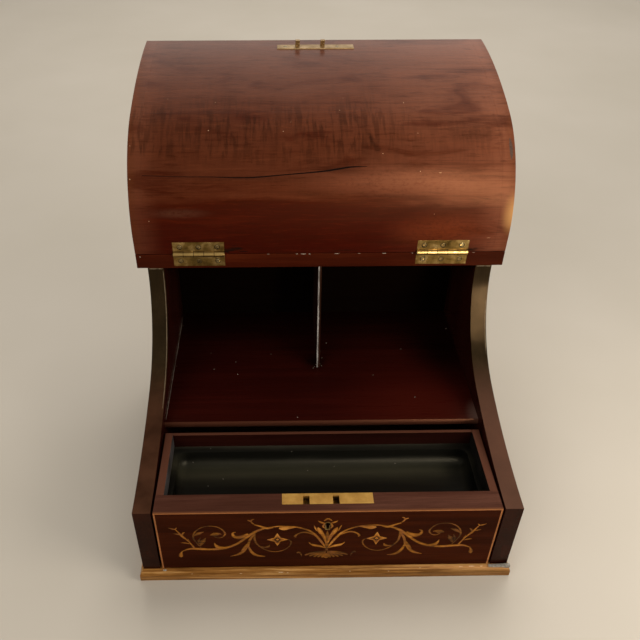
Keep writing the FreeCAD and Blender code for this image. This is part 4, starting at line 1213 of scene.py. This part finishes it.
def make_rubbed_and_lit_arrises(draw):
    """Rubbed edges of the sides, under the top board and down the cove; the line down the right cove is a
    painted highlight.
    """
    sides = {-1: surface("left_side"), 1: surface("right_side")}
    rub_and_light = bmesh.new()
    for side, tree in sides.items():
        rows = []
        for index in range(RUB_STEPS + 1):
            across = side * (SIDE_INNER + 1 + index * (SIDE_OUTER - SIDE_INNER - 2) / RUB_STEPS)
            rows.append((*from_front(tree, across, UNDER_BOARD), draw.uniform(*UNDER_WIDTHS)))
        seam(rub_and_light, rows, SEAM_LIFT)
    for side, inset, line in ((-1, SIDE_INNER + 1, LEFT_ARRIS), (1, SIDE_OUTER - 1, RIGHT_ARRIS_HIGHLIGHT)):
        knots = [(side * inset, height, width) for height, width in line]
        seam(rub_and_light, front_line(sides[side], knots), SEAM_LIFT)
    add_piece("rubbed_and_lit_arrises", rub_and_light, crumbs("rubbed_and_lit_wood", RUBBED_AND_LIT_TONES), "carcass")


def add_dust(shape, tree, places, speck, draw):
    """Specks of dust on a surface, given the range of their lengths and their width."""
    lengths, width = speck
    for across, depth in places:
        fleck(shape, *from_above(tree, across, depth), (draw.uniform(*lengths), width), draw)


def make_dust(draw):
    """Dust on the pigeonhole floor, thickest along the left side, and lint in the tray."""
    grey = crumbs("dust", DUST_TONES)
    floor = surface("pigeonhole_floor")
    dust = bmesh.new()
    rows = [(*from_above(floor, DUST_EDGE, depth), width) for depth, width in smooth(DUST_LINE)]
    seam(dust, rows, DUST_LIFT)
    add_dust(dust, floor, FLOOR_DUST, FLOOR_SPECK, draw)
    add_piece("floor_dust", dust, grey, "carcass")
    lint = bmesh.new()
    add_dust(lint, surface("tray_lining"), TRAY_DUST, TRAY_SPECK, draw)
    add_piece("tray_dust", lint, grey, "drawer")


def make_glue(draw):
    """A wedge of old glue under the right side and a crumb of it by the left one."""
    glue = bmesh.new()
    rows = []
    for across, tall in WEDGE:
        row = []
        for turn in range(WEDGE_TURNS):
            angle = turn * 2 * math.pi / WEDGE_TURNS
            spread = draw.uniform(*WEDGE_SPREAD)
            depth = WEDGE_MIDDLE + WEDGE_REACH * spread * math.cos(angle)
            height = BASE_TOP + tall * spread * math.sin(angle)
            row.append(glue.verts.new((across * MM, depth * MM, height * MM)))
        rows.append(row)
    join_rings(glue, rows)
    scatter(glue, surface("base_board"), from_above, (RESIDUE,), draw)
    add_piece("glue_wedge", glue, crumbs("old_glue", GLUE_TONES), "carcass")


def make_scuffs(draw):
    """Pale scuffs along the front of the base board."""
    scuffs = bmesh.new()
    scatter(scuffs, surface("base_board"), from_above, BASE_SCUFFS, draw)
    add_piece("base_scuffs", scuffs, crumbs("scuffed_wood", SCUFF_TONES), "carcass")


def make_wear():
    """Chips, rubbed edges with a painted highlight, dust, old glue and scuffs, which share one run of
    random draws.
    """
    draw = random.Random(7)
    for make in (make_chips, make_rubbed_and_lit_arrises, make_dust, make_glue, make_scuffs):
        make(draw)


# Room: floor, world and lamps

FLOOR_SPAN = 4.0
FLOOR_DROP = 0.0005
STAGE_TONES = ((194, 185, 170), (200, 191, 177))
BACKDROP = (0.56, 0.54, 0.51, 1)
AMBIENT = (1.0, 0.97, 0.92, 1)
AMBIENT_STRENGTH = 0.25
LAMPS = (
    ("key_lamp", (0.56, -0.34, 0.46), (0.4, 0.4), 3.0, (1.0, 0.93, 0.84), True, True),
    ("fill_lamp", (-1.10, -1.20, 1.30), (1.2, 1.2), 11.0, (1.0, 0.97, 0.93), True, False),
    ("top_lamp", (0.30, 1.40, 2.40), (2.0, 2.0), 45.0, (1.0, 0.97, 0.93), True, False),
    ("back_lamp", (0.10, 2.00, 1.60), (1.8, 1.6), 6.0, (1.0, 0.95, 0.88), True, True),
    ("strip_lamp", (0.40, -0.82, 0.50), (0.10, 1.04), 12.0, (1.0, 0.92, 0.80), False, True),
)
LAMP_AIM = Vector((0, 0, 0.2))


def make_floor():
    """A plain pale floor."""
    paint = Paint("floor_paint", Specular_IOR_Level=0.1)
    cloud = paint.noise((0.3, 0.3, 0.3), 3)
    roughness = paint.between(cloud, 0.3, 0.7, 0.75, 0.85)
    material = paint.finish(paint.shades(cloud, STAGE_TONES), roughness)
    shape = bmesh.new()
    bmesh.ops.create_grid(shape, x_segments=8, y_segments=8, size=FLOOR_SPAN)
    floor = add_mesh("floor", shape, material)
    floor.location.z = -FLOOR_DROP


def make_world():
    """Faint light from all round, and a pale backdrop for the camera and for reflections."""
    bpy.context.scene.world = bpy.data.worlds.new("world")
    sky = Nodes(bpy.context.scene.world)
    ambient = sky.tree.nodes["Background"]
    ambient.inputs["Color"].default_value = AMBIENT
    ambient.inputs["Strength"].default_value = AMBIENT_STRENGTH
    backdrop = sky.add("Background", {"Color": BACKDROP})
    path = sky.add("LightPath")
    seen = path.outputs["Is Camera Ray"]
    for name in ("Is Glossy Ray", "Is Transmission Ray"):
        seen = sky.math("MAXIMUM", seen, path.outputs[name])
    choice = sky.add("MixShader", {0: seen, 1: ambient.outputs[0], 2: backdrop.outputs[0]})
    sky.feed(sky.tree.nodes["World Output"].inputs["Surface"], choice.outputs[0])


def make_lamps():
    """Soft lamps: a lamp may light surfaces, be mirrored in them, or both."""
    for name, place, sizes, power, colour, lighting, mirrored in LAMPS:
        data = bpy.data.lights.new(name, "AREA")
        data.shape = "RECTANGLE"
        data.size, data.size_y = sizes
        data.energy = power
        data.color = colour
        lamp = bpy.data.objects.new(name, data)
        lamp.location = place
        lamp.rotation_euler = (LAMP_AIM - Vector(place)).to_track_quat("-Z", "Y").to_euler()
        lamp.visible_camera = False
        lamp.visible_diffuse = lighting
        lamp.visible_glossy = mirrored
        bpy.context.scene.collection.objects.link(lamp)
    bpy.context.scene.view_settings.view_transform = "Standard"


make_camera()
make_floor()
make_world()
make_lamps()
dress_nodes()
make_inlay()
make_lid_marks()
make_hinge_dirt()
make_wear()
